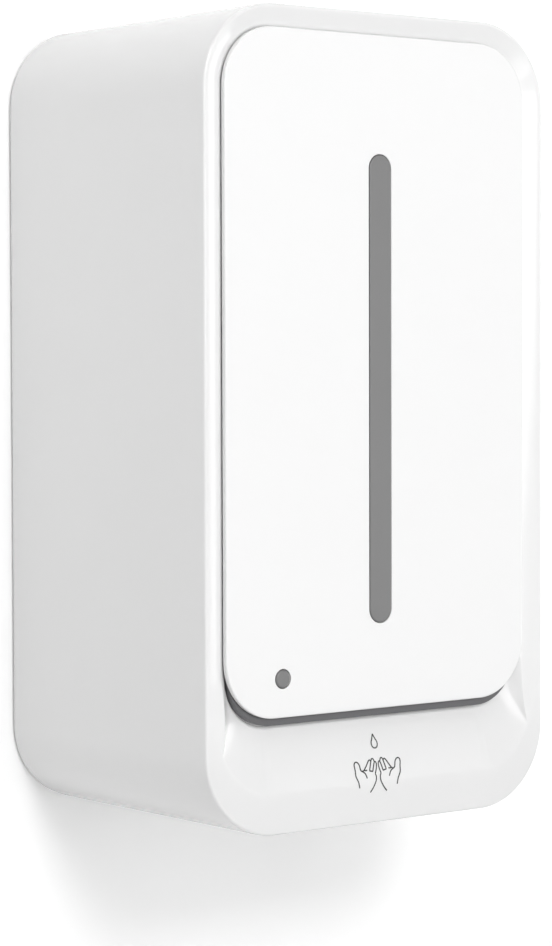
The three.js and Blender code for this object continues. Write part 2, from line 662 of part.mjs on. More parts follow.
function gearPlate() {
  const outline = roundedRect(PUMP.x - 20, MOTOR.x + 11.5, PUMP.z - 21, PUMP.z + 21, 4);
  let plate = prism("y", outline, -64.5, -62.5, 4);
  plate = plate.subtract(rod("y", PUMP.x, PUMP.z, 2.6, -70, -60, 16));
  plate = plate.subtract(rod("y", MOTOR.x, MOTOR.z, 4, -70, -60, 16));
  return piece("gear_plate", plate, materials.steel);
}

function motor() {
  const { x, z } = MOTOR;
  const can = rod("y", x, z, 12, -62.2, -36, 24)
    .add(rod("y", x, z, 3.4, -63.8, -62, 16))
    .add(rod("y", x, z, 4, -36.5, -34, 16))
    .subtract(rod("y", x, z, 1 + GAP, -65, -43, 12))
    .subtract(box(x - 13, x + 13, -63, -40, z + 10, z + 13))
    .subtract(box(x - 13, x + 13, -63, -40, z - 13, z - 10));
  return piece("motor", can, materials.steel);
}

// ---------------------------------------------------------------- module case, front, boards, switch
const MODULE_SCREWS = [[-51, -61], [9, -61], [-51, -107], [9, -107]];

function moduleCase() {
  const { x, front, rear, bottom, top, wall } = MODULE;
  let body = prism("y", roundedRect(-x, x, bottom, top, 3), front, rear, 3);
  body = body.subtract(box(-x + wall, x - wall, front - 1, rear - wall, bottom + wall, top - wall));
  body = body.subtract(rod("z", OUTLET.x, OUTLET.y, 7, top - wall - 1, top + 1, 20));
  body = body.subtract(rod("z", NOZZLE.x, NOZZLE.y, 5.6, bottom - 1, bottom + wall + 1, 20));
  body = body.subtract(box(-8, 8, -60, -52, bottom - 1, bottom + wall + 1)); // sensor leads
  for (const [u, v] of MODULE_SCREWS) {
    body = body.add(
      rod("y", u, v, 3, front + 3, rear - 1, 12).subtract(rod("y", u, v, 1.3, front, front + 14, 8)),
    );
  }
  // four feet that stand on the wall plate
  for (const u of [-30, 30]) {
    for (const v of [-66, -98]) body = body.add(rod("y", u, v, 5, rear - 1, -PLATE.thickness - GAP, 16));
  }
  return piece("module_case", body, materials.whiteMatte);
}

function moduleFront() {
  const { x, front, bottom, top } = MODULE;
  const back = front - GAP;
  let plate = prism("y", roundedRect(-x, x, bottom, top, 3), back - 1.8, back, 3);
  plate = plate.subtract(box(BOX.left + 1, BOX.right - 1, -100, -90, BOX.bottom + 1, BOX.top - 1));
  plate = plate.subtract(indicatorRod(2.8, -100, -90));
  plate = plate.subtract(box(-1.4, 6.9, -100, -90, -101.7, -98.3)); // switch slot
  for (const [u, v] of MODULE_SCREWS) plate = plate.subtract(rod("y", u, v, 1.9, -100, -90, 10));
  for (const u of [12.6, 54]) plate = plate.add(box(u, u + 1, back - 3.6, back - 1, bottom + 3, top));
  return piece("module_front", plate, materials.whiteMatte);
}

function batteryDoor() {
  let door = box(14, 53.6, -96.2, -94.5, -110, -70);
  for (const low of [-79, -76]) door = door.add(box(26, 42, -96.6, -96.1, low, low + 1.6)); // thumb grips
  return piece("battery_door", door, materials.whiteMatte);
}

function controlBoard() {
  const board = box(-46, -20, -60, -30, -108.2, -106.6);
  const chip = box(-43, -34, -54, -46, -106.7, -104.6);
  const capacitor = box(-30, -25, -52, -44, -106.7, -103);
  return piece("control_board", board.add(chip).add(capacitor), materials.board);
}

function indicatorLed() {
  const body = indicatorRod(2.4, -95.6, -91.6).add(indicatorRod(2.9, -91.8, -90.8));
  return piece("indicator_led", body, materials.tank);
}

const powerSwitch = () => piece("power_switch", box(-3, 10, -92, -88, -103, -97), materials.rubber);

function switchKnob() {
  const slider = box(-1, 3, -95.6, -92.3, -101.3, -98.7);
  return piece("switch_knob", slider.add(box(0, 2, -95.9, -95.5, -101, -99)), materials.rubber);
}

// ---------------------------------------------------------------- nozzle tray and sensor
function bottomTray() {
  let tray = box(-25, 25, -91, -45, -124.3, -111.4).subtract(box(-23, 23, -89, -47, -121.9, -110));
  tray = tray.subtract(rod("z", NOZZLE.x, NOZZLE.y, 5.4, -126, -120, 20));
  tray = tray.subtract(box(-11, 11, -63, -49, -126, -120));
  return piece("bottom_tray", tray, materials.greyMatte);
}

// The dark window fills the tray's opening, and a flange above holds it in.
function sensorWindow() {
  const pane = prism("z", roundedRect(-10.7, 10.7, -62.7, -49.3, 1.5), -124, -121.8, 4);
  const flange = box(-13, 13, -64.5, -47.5, -121.6, -120.6);
  const body = pane.add(flange).add(box(-10, 10, -62, -50, -122, -121));
  return piece("sensor_window", body, materials.infrared);
}

function sensorDiode(name, x) {
  const collar = rod("z", x, -56, 2.9, -115, -114, 14);
  return piece(name, rod("z", x, -56, 2.4, -120.2, -114, 14).add(collar), materials.infrared);
}

// ---------------------------------------------------------------- batteries
function batteryBox() {
  const { left, right, bottom, top, front, rear, wall } = BOX;
  let body = box(left, right, front, rear, bottom, top);
  body = body.subtract(box(left + wall, right - wall, front - 1, rear - wall, bottom + wall, top - wall));
  return piece("battery_box", body, materials.rubber);
}

function battery(i) {
  const column = i % 2 ? 1 : -1;
  const row = i < 2 ? 1 : -1;
  const u = CELL.x + (column * CELL.pitch) / 2;
  const v = CELL.z + (row * CELL.pitch) / 2;
  const nose = i % 2 ? -1 : 1; // neighbours lie head to tail
  const [from, to] = [CELL.rear - CELL.length, CELL.rear];
  const body = rod("y", u, v, CELL.radius, nose > 0 ? from : from + 1, nose > 0 ? to - 1 : to, 24);
  const cap = nose > 0 ? rod("y", u, v, 2.7, to - 1.1, to, 12) : rod("y", u, v, 2.7, from, from + 1.1, 12);
  return piece(`battery_${i + 1}`, body.add(cap), materials.cell);
}

// A bridging plate behind each row of cells, with a sprung dimple for each cell.
function contactBridge(name, row) {
  const z = CELL.z + (row * CELL.pitch) / 2;
  let plate = box(CELL.x - 13, CELL.x + 13, -31.4, -30.6, z - 5, z + 5);
  for (const side of [-1, 1]) {
    plate = plate.add(rod("y", CELL.x + (side * CELL.pitch) / 2, z, 3.2, CELL.rear + GAP, -31.2, 12));
  }
  return piece(name, plate, materials.steel);
}

// ---------------------------------------------------------------- assembly
function group(...children) {
  const g = new THREE.Group();
  g.add(...children);
  return g;
}

const cover = group(coverShell(), frontPanel(), panelCarrier(), levelWindow(), indicatorLens(), lockBarrel(),
  lockNut());
const lock = group(lockPlug(), lockCam(), camScrew());
const mounting = group(
  wallPlate(),
  hingePin("hinge_pin_left", -53, -39),
  hingePin("hinge_pin_right", 39, 53),
  lockKeeper(),
  piece("keeper_screw_upper", screw(31, 109, -7.3, 3, 1.5, -3), materials.steel),
  piece("keeper_screw_lower", screw(31, 102, -7.3, 3, 1.5, -3), materials.steel),
);
const tank = group(tankBody(), tankSeal(), tankTop(), outletFitting(), outletSeal());
const lid = group(fillLid(), lidGasket());
const pump = group(
  pumpHousing(),
  pumpLid(),
  pumpHose(),
  motor(),
  gearPlate(),
  ...PUMP_SCREWS.map(([u, v], i) =>
    piece(`pump_screw_${i + 1}`, screw(u, v, -90.2, 2.4, 1.3, -74), materials.steel),
  ),
);
const rotor = group(pumpRotor(), driveGear(), roller(0), roller(1), roller(2), motorPinion());
const moduleParts = group(
  moduleCase(),
  moduleFront(),
  ...MODULE_SCREWS.map(([u, v], i) =>
    piece(`module_screw_${i + 1}`, screw(u, v, -96.3, 2.9, 1, -80), materials.steel)),
  controlBoard(),
  indicatorLed(),
  powerSwitch(),
  switchKnob(),
  batteryBox(),
  batteryDoor(),
  ...[0, 1, 2, 3].map(battery),
  contactBridge("contact_bridge_upper", 1),
  contactBridge("contact_bridge_lower", -1),
);
const underside = group(
  bottomTray(),
  nozzle(),
  nozzleValve(),
  sensorWindow(),
  sensorDiode("sensor_emitter", -5.5),
  sensorDiode("sensor_receiver", 5.5),
);

export default group(cover, lock, mounting, tank, lid, pump, rotor, moduleParts, underside);
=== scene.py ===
# %% [markdown]
# # A wall-mounted soap dispenser, piece by piece
# The real object is a deep white plastic cover on a wall. A thin front panel floats in a dish in its front,
# with a narrow window that shows the soap level, and below the panel the cover is scooped out for the hands.
# The frame that is loaded here was made in CAD: it fixes every size, place and moving body. This lesson
# gives each piece its edges, details and finish, without moving anything.

# %% Load the frame
import math

import bmesh
import bpy
from mathutils import Matrix, Vector


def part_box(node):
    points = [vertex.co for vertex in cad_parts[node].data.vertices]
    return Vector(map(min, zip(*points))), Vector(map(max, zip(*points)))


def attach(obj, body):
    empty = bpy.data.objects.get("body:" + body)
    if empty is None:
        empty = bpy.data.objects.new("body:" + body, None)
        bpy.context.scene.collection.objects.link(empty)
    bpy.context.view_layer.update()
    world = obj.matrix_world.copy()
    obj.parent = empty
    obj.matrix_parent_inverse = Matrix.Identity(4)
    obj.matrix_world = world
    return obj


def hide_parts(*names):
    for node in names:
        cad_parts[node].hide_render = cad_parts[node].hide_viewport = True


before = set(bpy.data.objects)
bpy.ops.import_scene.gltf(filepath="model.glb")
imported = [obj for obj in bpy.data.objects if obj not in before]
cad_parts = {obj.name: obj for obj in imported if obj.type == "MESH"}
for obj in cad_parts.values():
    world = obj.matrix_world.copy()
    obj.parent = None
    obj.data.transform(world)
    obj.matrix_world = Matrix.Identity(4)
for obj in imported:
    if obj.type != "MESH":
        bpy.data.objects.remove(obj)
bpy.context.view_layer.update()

MM = 0.001

# %% [markdown]
# ## Camera, wall, floor and light
# A dispenser hangs at chest height, so the camera stands level with it, to its left, with a long lens that
# keeps the upright edges nearly parallel. The wall and the floor can be seen only from the room: their backs
# are transparent, so views from behind or below still show the object. As in a small studio there is a soft
# key light above and to the left, a weaker one in front, one overhead, a strip far to the right that grazes
# the bevels, and light that comes back up from below. The wall is lifted a little for the camera only.

# %% Camera
scene = bpy.context.scene
camera_data = bpy.data.cameras.new("camera")
camera_data.lens = 110.8
camera_data.sensor_width = 36
camera_data.clip_end = 50


def new_object(name, data):
    obj = bpy.data.objects.new(name, data)
    scene.collection.objects.link(obj)
    return obj


camera = new_object("camera", camera_data)
yaw, pitch, roll = math.radians(38.17), math.radians(-2.34), math.radians(-0.16)
forward = Vector((math.sin(yaw) * math.cos(pitch), math.cos(yaw) * math.cos(pitch), math.sin(pitch)))
right = Vector((math.cos(yaw), -math.sin(yaw), 0))
up = right.cross(forward)
right, up = right * math.cos(roll) + up * math.sin(roll), up * math.cos(roll) - right * math.sin(roll)
turn = Matrix((right, up, -forward)).transposed()
camera.matrix_world = Matrix.Translation((-0.5817, -0.7924, 0.0203)) @ turn.to_4x4()
scene.camera = camera
print("camera looks along", [round(c, 3) for c in forward])


# %% Stage: a wall and a floor
def add(tree, kind, inputs=(), out=0, **settings):
    """Adds a node, sets or links its inputs, and returns one of its outputs."""
    node = tree.nodes.new(kind)
    for name, value in settings.items():
        setattr(node, name, value)
    for key, value in dict(inputs).items():
        if isinstance(value, bpy.types.NodeSocket):
            tree.links.new(value, node.inputs[key])
        else:
            node.inputs[key].default_value = value
    return node.outputs[out]


def maths(tree, operation, a, b=0.0):
    return add(tree, "ShaderNodeMath", {0: a, 1: b}, operation=operation)


def new_material(name):
    mat = bpy.data.materials.new(name)
    mat.use_nodes = True
    return mat, mat.node_tree, mat.node_tree.nodes["Principled BSDF"]


def stage_sheet(name, corners, faces, grey, roughness, glow):
    """A sheet that is clear from behind; glow lifts it for the camera only."""
    mesh = bpy.data.meshes.new(name)
    mesh.from_pydata(corners, [], faces)
    mat, tree, shader = new_material(name)
    shader.inputs["Base Color"].default_value = (grey, grey, grey, 1)
    shader.inputs["Roughness"].default_value = roughness
    shader.inputs["Emission Color"].default_value = (1, 1, 1, 1)
    seen = maths(tree, "MULTIPLY", add(tree, "ShaderNodeLightPath", out="Is Camera Ray"), glow)
    tree.links.new(seen, shader.inputs["Emission Strength"])
    back = add(tree, "ShaderNodeNewGeometry", out="Backfacing")
    clear = add(tree, "ShaderNodeBsdfTransparent")
    both = add(tree, "ShaderNodeMixShader", {0: back, 1: shader.outputs[0], 2: clear})
    tree.links.new(both, tree.nodes["Material Output"].inputs["Surface"])
    mesh.materials.append(mat)
    new_object(name, mesh)


WIDE, LOW, HIGH = 3.0, -0.6, 2.2  # half width of the room, and the heights of the floor and of the wall's top
# the wall is left out behind the wall plate, so that light reaches the plate's back
plate_half, plate_bottom, plate_top, plate_corner = 57.0, -105.0, 113.0, 17.0
CORNER_POINTS = 13  # points in each corner of that hole
wall = [(WIDE, 0, HIGH), (-WIDE, 0, HIGH), (-WIDE, 0, LOW), (WIDE, 0, LOW)]
hole = []
for sx, middle_z, start in ((1, plate_top - plate_corner, 0), (-1, plate_top - plate_corner, 90),
                            (-1, plate_bottom + plate_corner, 180), (1, plate_bottom + plate_corner, 270)):
    for t in range(CORNER_POINTS):
        a = math.radians(start + 90 * t / (CORNER_POINTS - 1))
        hole.append(((sx * (plate_half - plate_corner) + plate_corner * math.cos(a)) * MM, 0,
                     (middle_z + plate_corner * math.sin(a)) * MM))
around = []
for k in range(4):  # a fan from each of the wall's corners to its corner of the hole, and a panel to the next
    first, following = 4 + k * CORNER_POINTS, 4 + (k + 1) % 4 * CORNER_POINTS
    last = first + CORNER_POINTS - 1
    around += [(i, k, i + 1) for i in range(first, last)]
    around.append((last, k, (k + 1) % 4, following))
stage_sheet("wall", wall + hole, around, grey=0.97, roughness=0.8, glow=0.12)
floor = [(-WIDE, -WIDE, LOW), (WIDE, -WIDE, LOW), (WIDE, 0, LOW), (-WIDE, 0, LOW)]
stage_sheet("floor", floor, [(0, 1, 2, 3)], grey=0.6, roughness=0.7, glow=0.0)
print("the hole in the wall has", len(hole), "points")


# %% Light
def soft_light(name, place, aim, size, power):
    data = bpy.data.lights.new(name, "AREA")
    data.shape = "RECTANGLE"
    data.size, data.size_y = size
    data.energy = power
    lamp = new_object(name, data)
    lamp.location = place
    lamp.rotation_euler = (Vector(aim) - Vector(place)).to_track_quat("-Z", "Y").to_euler()


soft_light("key", (-0.5, -2.0, 0.9), (0, 0, 0), (0.5, 0.5), 15.0)
soft_light("front", (-0.1, -2.1, 0.5), (0, 0, 0), (1.0, 1.0), 8.4)
soft_light("overhead", (0.0, -0.7, 1.7), (0, -0.05, 0), (1.2, 1.0), 5.6)
soft_light("right_strip", (2.0, -0.5, 0.0), (0, 0, 0), (0.6, 1.2), 3.6)
soft_light("floor_card", (0.1, -2.0, -0.55), (0, 0, 0), (1.0, 0.6), 4.2)

world = bpy.data.worlds.new("studio")
world.use_nodes = True
sky = world.node_tree
direction = add(sky, "ShaderNodeTexCoord", out="Generated")
height = add(sky, "ShaderNodeSeparateXYZ", {"Vector": direction}, out="Z")
height = add(sky, "ShaderNodeMapRange",  # the studio is bright below and dark above
             {"Value": height, "From Min": -0.5, "From Max": 0.5, "To Min": 2.0, "To Max": 0.0})
sky.links.new(height, sky.nodes["Background"].inputs["Strength"])
sky.nodes["Background"].inputs["Color"].default_value = (1, 1, 1, 1)
scene.world = world
scene.view_settings.view_transform = "Standard"

# %% [markdown]
# ## Finishes
# Moulded plastic is never perfectly even. The mould leaves a faint orange peel, the gloss varies a little
# from place to place, and hands leave smudges. One node group makes these three effects from the object's
# own coordinates, and every plastic uses it with its own values.


# %% Node group: moulded surface
FLOAT = "NodeSocketFloat"


def new_group(name, sockets_in, sockets_out):
    group = bpy.data.node_groups.new(name, "ShaderNodeTree")
    for socket, kind, default in sockets_in:
        made = group.interface.new_socket(socket, in_out="INPUT", socket_type=kind)
        if default is not None:
            made.default_value = default
    for socket, kind in sockets_out:
        group.interface.new_socket(socket, in_out="OUTPUT", socket_type=kind)
    return group, group.nodes.new("NodeGroupInput"), group.nodes.new("NodeGroupOutput")


moulded, given, result = new_group(
    "moulded_surface",
    [("Peel Scale", FLOAT, 900.0), ("Mottle Scale", FLOAT, 45.0), ("Gloss", FLOAT, 0.2),
     ("Smudge", FLOAT, 0.05)],
    [("Mottle", FLOAT), ("Roughness", FLOAT), ("Height", FLOAT)],
)


def noise(tree, where, scale, detail, **more):
    return add(tree, "ShaderNodeTexNoise", {"Vector": where, "Scale": scale, "Detail": detail, **more})


where = add(moulded, "ShaderNodeTexCoord", out="Object")
peel = noise(moulded, where, given.outputs["Peel Scale"], 3.0)
mottle = noise(moulded, where, given.outputs["Mottle Scale"], 5.0)
smears = {"Vector": where, "Scale": (1.0, 1.0, 0.35), "Rotation": (0.3, 0.5, 0.2)}  # long and slanted
smears = add(moulded, "ShaderNodeMapping", smears)
smears = noise(moulded, smears, 60.0, 6.0, Roughness=0.65)
smears = add(moulded, "ShaderNodeMapRange", {"Value": smears, "From Min": 0.5, "From Max": 0.75})
smeared = maths(moulded, "MULTIPLY", smears, given.outputs["Smudge"])
uneven = add(moulded, "ShaderNodeMapRange", {"Value": mottle, "To Min": -0.02, "To Max": 0.02})
gloss = maths(moulded, "ADD", given.outputs["Gloss"], smeared)
gloss = maths(moulded, "ADD", gloss, uneven)
for socket, value in (("Mottle", mottle), ("Roughness", gloss), ("Height", peel)):
    moulded.links.new(value, result.inputs[socket])
print("moulded_surface has", len(moulded.nodes), "nodes")


# %% A plastic finish
def use_group(tree, group, values):
    """Places a node group and returns its outputs."""
    return add(tree, "ShaderNodeGroup", values, node_tree=group).node.outputs


def mix_colour(tree, mask, low, high):
    colours = {"Factor": mask, 6: (*low, 1), 7: (*high, 1)}  # 6 and 7 are the node's two colour inputs
    return add(tree, "ShaderNodeMix", colours, out=2, data_type="RGBA")


def rough_and_bump(tree, shader, effect, strength, distance):
    """Feeds a group's roughness and height to the shader."""
    bump = {"Strength": strength, "Distance": distance, "Height": effect["Height"]}
    bump = add(tree, "ShaderNodeBump", bump)
    tree.links.new(effect["Roughness"], shader.inputs["Roughness"])
    tree.links.new(bump, shader.inputs["Normal"])


def plastic(name, colour, gloss, peel=900.0, depth=0.02, smudge=0.04, spread=0.03, **constants):
    """peel is the grain's scale per metre, depth its strength, and spread the drift of the colour."""
    mat, tree, shader = new_material(name)
    skin = use_group(tree, moulded, {"Peel Scale": peel, "Gloss": gloss, "Smudge": smudge})
    darker = tuple(c * (1 - spread) for c in colour)
    tree.links.new(mix_colour(tree, skin["Mottle"], darker, colour), shader.inputs["Base Color"])
    rough_and_bump(tree, shader, skin, depth, 0.0004)
    for key, value in constants.items():
        shader.inputs[key.replace("_", " ")].default_value = value
    return mat


gloss_white = plastic("gloss_white", (0.86, 0.86, 0.86), 0.16, depth=0.012, spread=0.012, Coat_Weight=0.3)
panel_white = plastic("panel_white", (0.9, 0.9, 0.9), 0.1, depth=0.006, spread=0.008, Coat_Weight=0.5)
# the carrier's dark grey is painted shade: it stands in for the shadowed gap under the floating panel
carrier_grey = plastic("carrier_grey", (0.13, 0.13, 0.135), 0.42, peel=2600.0, depth=0.06)
smoke_grey = plastic("smoke_grey", (0.22, 0.22, 0.22), 0.22, depth=0.01, smudge=0.08, spread=0.04)
print_grey = plastic("print_grey", (0.05, 0.05, 0.05), 0.5, depth=0.02)
print("gloss_white has", len(gloss_white.node_tree.nodes), "nodes")

# %% [markdown]
# ## Shapes from outlines
# Nearly all outlines on this object are rectangles with round corners. Drawn as lists of points that match
# one to one, a row of them can be joined into a skin, like hoops on a barrel. This is lofting. It gives
# clean long faces on the flats and many short ones where the surface turns. Prisms and rods are made the
# same way, and are used to cut or to join with a Boolean modifier.


# %% Lofting helpers
def as_object(name, verts, faces, *mats):
    mesh = bpy.data.meshes.new(name)
    mesh.from_pydata([tuple(v) for v in verts], [], faces)
    mesh.validate()
    for mat in mats:
        mesh.materials.append(mat)
    return new_object(name, mesh)


def tidy(obj, angle=30):
    """Welds doubles, turns the faces outwards, and shades smooth except across sharp edges."""
    bm = bmesh.new()
    bm.from_mesh(obj.data)
    bmesh.ops.remove_doubles(bm, verts=bm.verts, dist=1e-6)
    bmesh.ops.recalc_face_normals(bm, faces=bm.faces)
    limit = math.radians(angle)
    for face in bm.faces:
        face.smooth = True
    for edge in bm.edges:
        edge.smooth = len(edge.link_faces) == 2 and edge.calc_face_angle(0) < limit
    bm.to_mesh(obj.data)
    bm.free()
    return obj


def loft(name, rings, *mats, angle=30):
    """Joins closed rings of points one to the next and caps both ends."""
    count = len(rings[0])
    starts = range(0, len(rings) * count, count)
    faces = [(a + i, a + (i + 1) % count, b + (i + 1) % count, b + i)
             for a, b in zip(starts, starts[1:]) for i in range(count)]
    faces += [tuple(a + i for i in range(count)) for a in (starts[0], starts[-1])]
    return tidy(as_object(name, [p for ring in rings for p in ring], faces, *mats), angle)


def keep_result(obj):
    """Makes what the modifiers show the object's own mesh, and removes them."""
    bpy.context.view_layer.update()
    made = bpy.data.meshes.new_from_object(obj.evaluated_get(bpy.context.evaluated_depsgraph_get()))
    obj.modifiers.clear()
    obj.data = made


def cut(obj, *tools, operation="DIFFERENCE", angle=30):
    """Subtracts or joins closed tools, and removes them."""
    for tool in tools:
        modifier = obj.modifiers.new("cut", "BOOLEAN")
        modifier.operation = operation
        modifier.solver = "EXACT"
        modifier.object = tool
        keep_result(obj)
        bpy.data.objects.remove(tool)
    return tidy(obj, angle)


def rounded(x0, x1, z0, z1, r, steps=12):
    """Points of a rectangle with round corners, in mm, from the left side down and round."""
    points = []
    corners = ((x0 + r, z0 + r, 180), (x1 - r, z0 + r, 270), (x1 - r, z1 - r, 0), (x0 + r, z1 - r, 90))
    for cx, cz, start in corners:
        for i in range(steps + 1):
            a = math.radians(start + 90 * i / steps)
            points.append((cx + r * math.cos(a), cz + r * math.sin(a)))
    return points


def block(x0, x1, y0, y1, z0, z1, r=0.0, steps=12):
    """A closed prism along Y, in mm, with round corners if r is given."""
    outline = rounded(x0, x1, z0, z1, r, steps) if r else [(x0, z0), (x1, z0), (x1, z1), (x0, z1)]
    return loft("tool", [[Vector((x, y, z)) * MM for x, z in outline] for y in (y0, y1)])


def circle(count):
    """The cosine and sine of equal steps round a circle."""
    return [(math.cos(a), math.sin(a)) for a in (2 * math.pi * i / count for i in range(count))]


def rod(axis, u, v, radius, low, high, sides=48):
    """A closed round rod along an axis, in mm."""
    ring = [(u + radius * c, v + radius * s) for c, s in circle(sides)]
    place = {"x": lambda a, p: (a, *p), "y": lambda a, p: (p[0], a, p[1]), "z": lambda a, p: (*p, a)}[axis]
    return loft("tool", [[Vector(place(a, p)) * MM for p in ring] for a in (low, high)])


def ease(t):
    """0 below 0, 1 above 1, and a soft climb between."""
    t = min(1.0, max(0.0, t))
    return t * t * (3 - 2 * t)


print("a round corner has", len(rounded(0, 1, 0, 1, 0.1)) // 4, "points")

# %% [markdown]
# ## The cover
# On the real object this is one deep injection moulding. Its front edge is a thin rim, inside it a shallow
# bevel runs to a crease, and the wall then drops steeply under the floating panel. In the lower corners
# the crease bends inwards and dies out in a broad flat lip, and below the panel a scoop rolls smoothly
# down from that lip. A box with bevels can't do this, so the skin is lofted through guide lines: the
# outline, the rim, the crease and the pocket under the panel. The crease comes nearer the rim until the
# two are one line, and the roll of the scoop is a power curve between crease and pocket.

# %% Guide lines of the cover's front
HALF_W, HALF_H, FRONT, REAR = 68.0, 125.0, -105.0, -1.0  # of the whole cover, in mm
TALL = 2 * HALF_H
CORNER, WALL = 26.0, 2.8  # radius of the outline's corners, and thickness of the walls
ARC = 48  # stations in each corner
SIDE, TOP, PANEL_CORNER = 8.0, 6.8, 18.3  # border beside and above the panel, and the panel's corner radius
RUN_OUT = 0.41  # share of the lower corner where the crease has met the lip


def corner_point(share, lower, inset, edge, r):
    a = share * math.pi / 2
    z = edge + r - r * math.sin(a) if lower else edge - r + r * math.sin(a)
    return inset + r - r * math.cos(a), z


RIM = 1.0  # width of the flat rim
LIP_LOW, LIP_CORNER = 12.2, (25.3, 34.0)  # the lip's height, and the half axes of its corner ellipse


def rim_line(share, lower):
    if not lower:
        return corner_point(share, lower, RIM, TALL - RIM, CORNER - RIM)
    a = share * math.pi / 2
    wide, tall = LIP_CORNER
    return RIM + wide - wide * math.cos(a), LIP_LOW + tall - tall * math.sin(a)


def inner_line(inset, bottom):
    """An outline that runs beside the panel's, and ends at its own height above the bottom."""
    def line(share, lower):
        edge = bottom if lower else TALL + SIDE - TOP - inset
        return corner_point(share, lower, inset, edge, SIDE + PANEL_CORNER - inset)
    return line


CREASE, CREASE_DEPTH, CREASE_BEND = 6.9, 2.0, (8.6, 34.4)  # inset, depth, and where its lower end bends
POCKET, POCKET_LOW = 9.6, 32.5  # inset and lower edge of the pocket
pocket_line = inner_line(POCKET, POCKET_LOW)


def crease_line(share, lower):
    """The crease's x, z and depth behind the rim."""
    if not lower:
        return (*inner_line(CREASE, 0)(share, False), CREASE_DEPTH)
    if share >= RUN_OUT:
        return (*rim_line(share, True), 0.0)
    s = share / RUN_OUT
    ends = ((CREASE, POCKET_LOW + SIDE + PANEL_CORNER - POCKET), CREASE_BEND, rim_line(RUN_OUT, True))
    weights = ((1 - s) ** 2, 2 * s * (1 - s), s * s)
    x, z = (sum(w * p[k] for w, p in zip(weights, ends)) for k in (0, 1))
    return x, z, CREASE_DEPTH * (1 - s) ** 1.6


def ring(point):
    """One hoop: point(share, lower) gives x from the left side, z from the bottom and the depth."""
    hoop = []
    for mirror, lower in ((1, True), (-1, True), (-1, False), (1, False)):
        forwards = (mirror == 1) == lower
        for i in range(ARC + 1):
            x, z, depth = point((i if forwards else ARC - i) / ARC, lower)
            hoop.append(Vector(((x - HALF_W) * mirror, FRONT + depth, z - HALF_H)) * MM)
    return hoop


def outline(inset):
    """The cover's side, moved inwards by inset."""
    def line(share, lower):
        return corner_point(share, lower, inset, inset if lower else TALL - inset, CORNER - inset)
    return line


def outline_ring(inset, depth):
    return ring(lambda share, lower: (*outline(inset)(share, lower), depth))


print("guide lines:", 4 * (ARC + 1), "points in each hoop")

# %% Loft the cover's outer skin
EDGE = 0.7  # radius of the rim's outer edge
BACK = REAR - FRONT  # depth of the rear edge
side_hoops = ((0.4, BACK), (0, BACK - 0.4), (0, BACK - 1), (0, 60.0), (0, 20.0), (0, EDGE + 0.6))
hoops = [outline_ring(inset, depth) for inset, depth in side_hoops]
for a in (math.radians(15 * i) for i in range(7)):
    hoops.append(outline_ring(EDGE * (1 - math.cos(a)), EDGE * (1 - math.sin(a))))


def between(a, b, t, depth):
    def point(share, lower):
        (ax, az), (bx, bz) = a(share, lower)[:2], b(share, lower)[:2]
        return ax + (bx - ax) * t, az + (bz - az) * t, depth
    return ring(point)


hoops += [between(outline(EDGE + 0.08), rim_line, t, 0.0) for t in (0.0, 0.5, 0.9)]


def bevel_ring(t):
    """From the rim (0) to the crease (1): a hair of rounding, then a nearly flat bevel."""
    def point(share, lower):
        (ax, az), (bx, bz, depth) = rim_line(share, lower), crease_line(share, lower)
        return ax + (bx - ax) * t, az + (bz - az) * t, depth * t ** 1.12
    return ring(point)


def scoop_ring(t):
    """From the crease (0) to the pocket's edge (1), rolling over as a power of t."""
    def point(share, lower):
        ax, az, ad = crease_line(share, lower)
        bx, bz = pocket_line(share, lower)
        depth = 3.6 + (1.5 * ease(share / (1.5 * RUN_OUT)) if lower else 0.0)
        rolls = max(0.0, (share - 0.9) / 0.1) if lower else 0.0  # the ends stay nearly straight in section
        power = 1.08 + 0.62 * rolls
        return ax + (bx - ax) * t, az + (bz - az) * t, ad + (depth - ad) * t ** power
    return ring(point)


hoops += [bevel_ring(t) for t in (0.0, 0.06, 0.15, 0.3, 0.5, 0.75, 0.97)]
hoops += [scoop_ring(t) for t in (0.0, 0.015, 0.04, 0.08, 0.13, 0.2, 0.28, 0.37, 0.46, 0.55, 0.64, 0.73, 0.82,
                                  0.9, 0.96, 1.0)]
for more, depth in ((0.15, 5.25), (0.6, 5.3)):  # the pocket's floor, with a hair of rounding
    floor_line = inner_line(POCKET + more, POCKET_LOW + more)
    hoops.append(ring(lambda share, lower: (*floor_line(share, lower), depth)))
COVER_SHARP = 22  # degrees; edges that turn less are shaded smooth
cover = loft("cover", hoops, gloss_white, angle=COVER_SHARP)
print("cover skin:", len(cover.data.polygons), "faces in", len(hoops), "hoops")

# %% Hollow the cover and cut its openings
IN_W, IN_H, IN_FRONT = HALF_W - WALL, HALF_H - WALL, -96.9  # the cavity
SLOT_LOW, SLOT_HIGH, SLOT_HALF = 62.1 - HALF_H, 206.5 - HALF_H, 4.3  # ends and half width of the level window
LAMP_X, LAMP_Z = -38.6, -77.8
LOCK_Y = -24
HINGE_Y, HINGE_Z, SWING = -11, -116, 10.8  # the hinge's axis, and the radius that its corner needs to turn
cavity = block(-IN_W, IN_W, IN_FRONT, 1, -IN_H, IN_H, CORNER - WALL, 24)
lip_core = block(-40, 40, -102, -96, -IN_H, -114)
slot_hole = block(-4.6, 4.6, -101, -95, SLOT_LOW - 0.3, SLOT_HIGH + 0.3, 4.59)
lamp_hole = rod("y", LAMP_X, LAMP_Z, 3.1, -101, -95)
lock_hole = rod("z", 0, LOCK_Y, 6.8, 121, 126)
lock_seat = rod("z", 0, LOCK_Y, 8.8, 123.3, 126)
tray_hole = block(-25.8, 25.8, -91.9, -44.4, -126, -121)
swing_relief = cut(block(-70, 70, HINGE_Y, 0, -126, HINGE_Z), rod("x", HINGE_Y, HINGE_Z, SWING, -71, 71, 96))
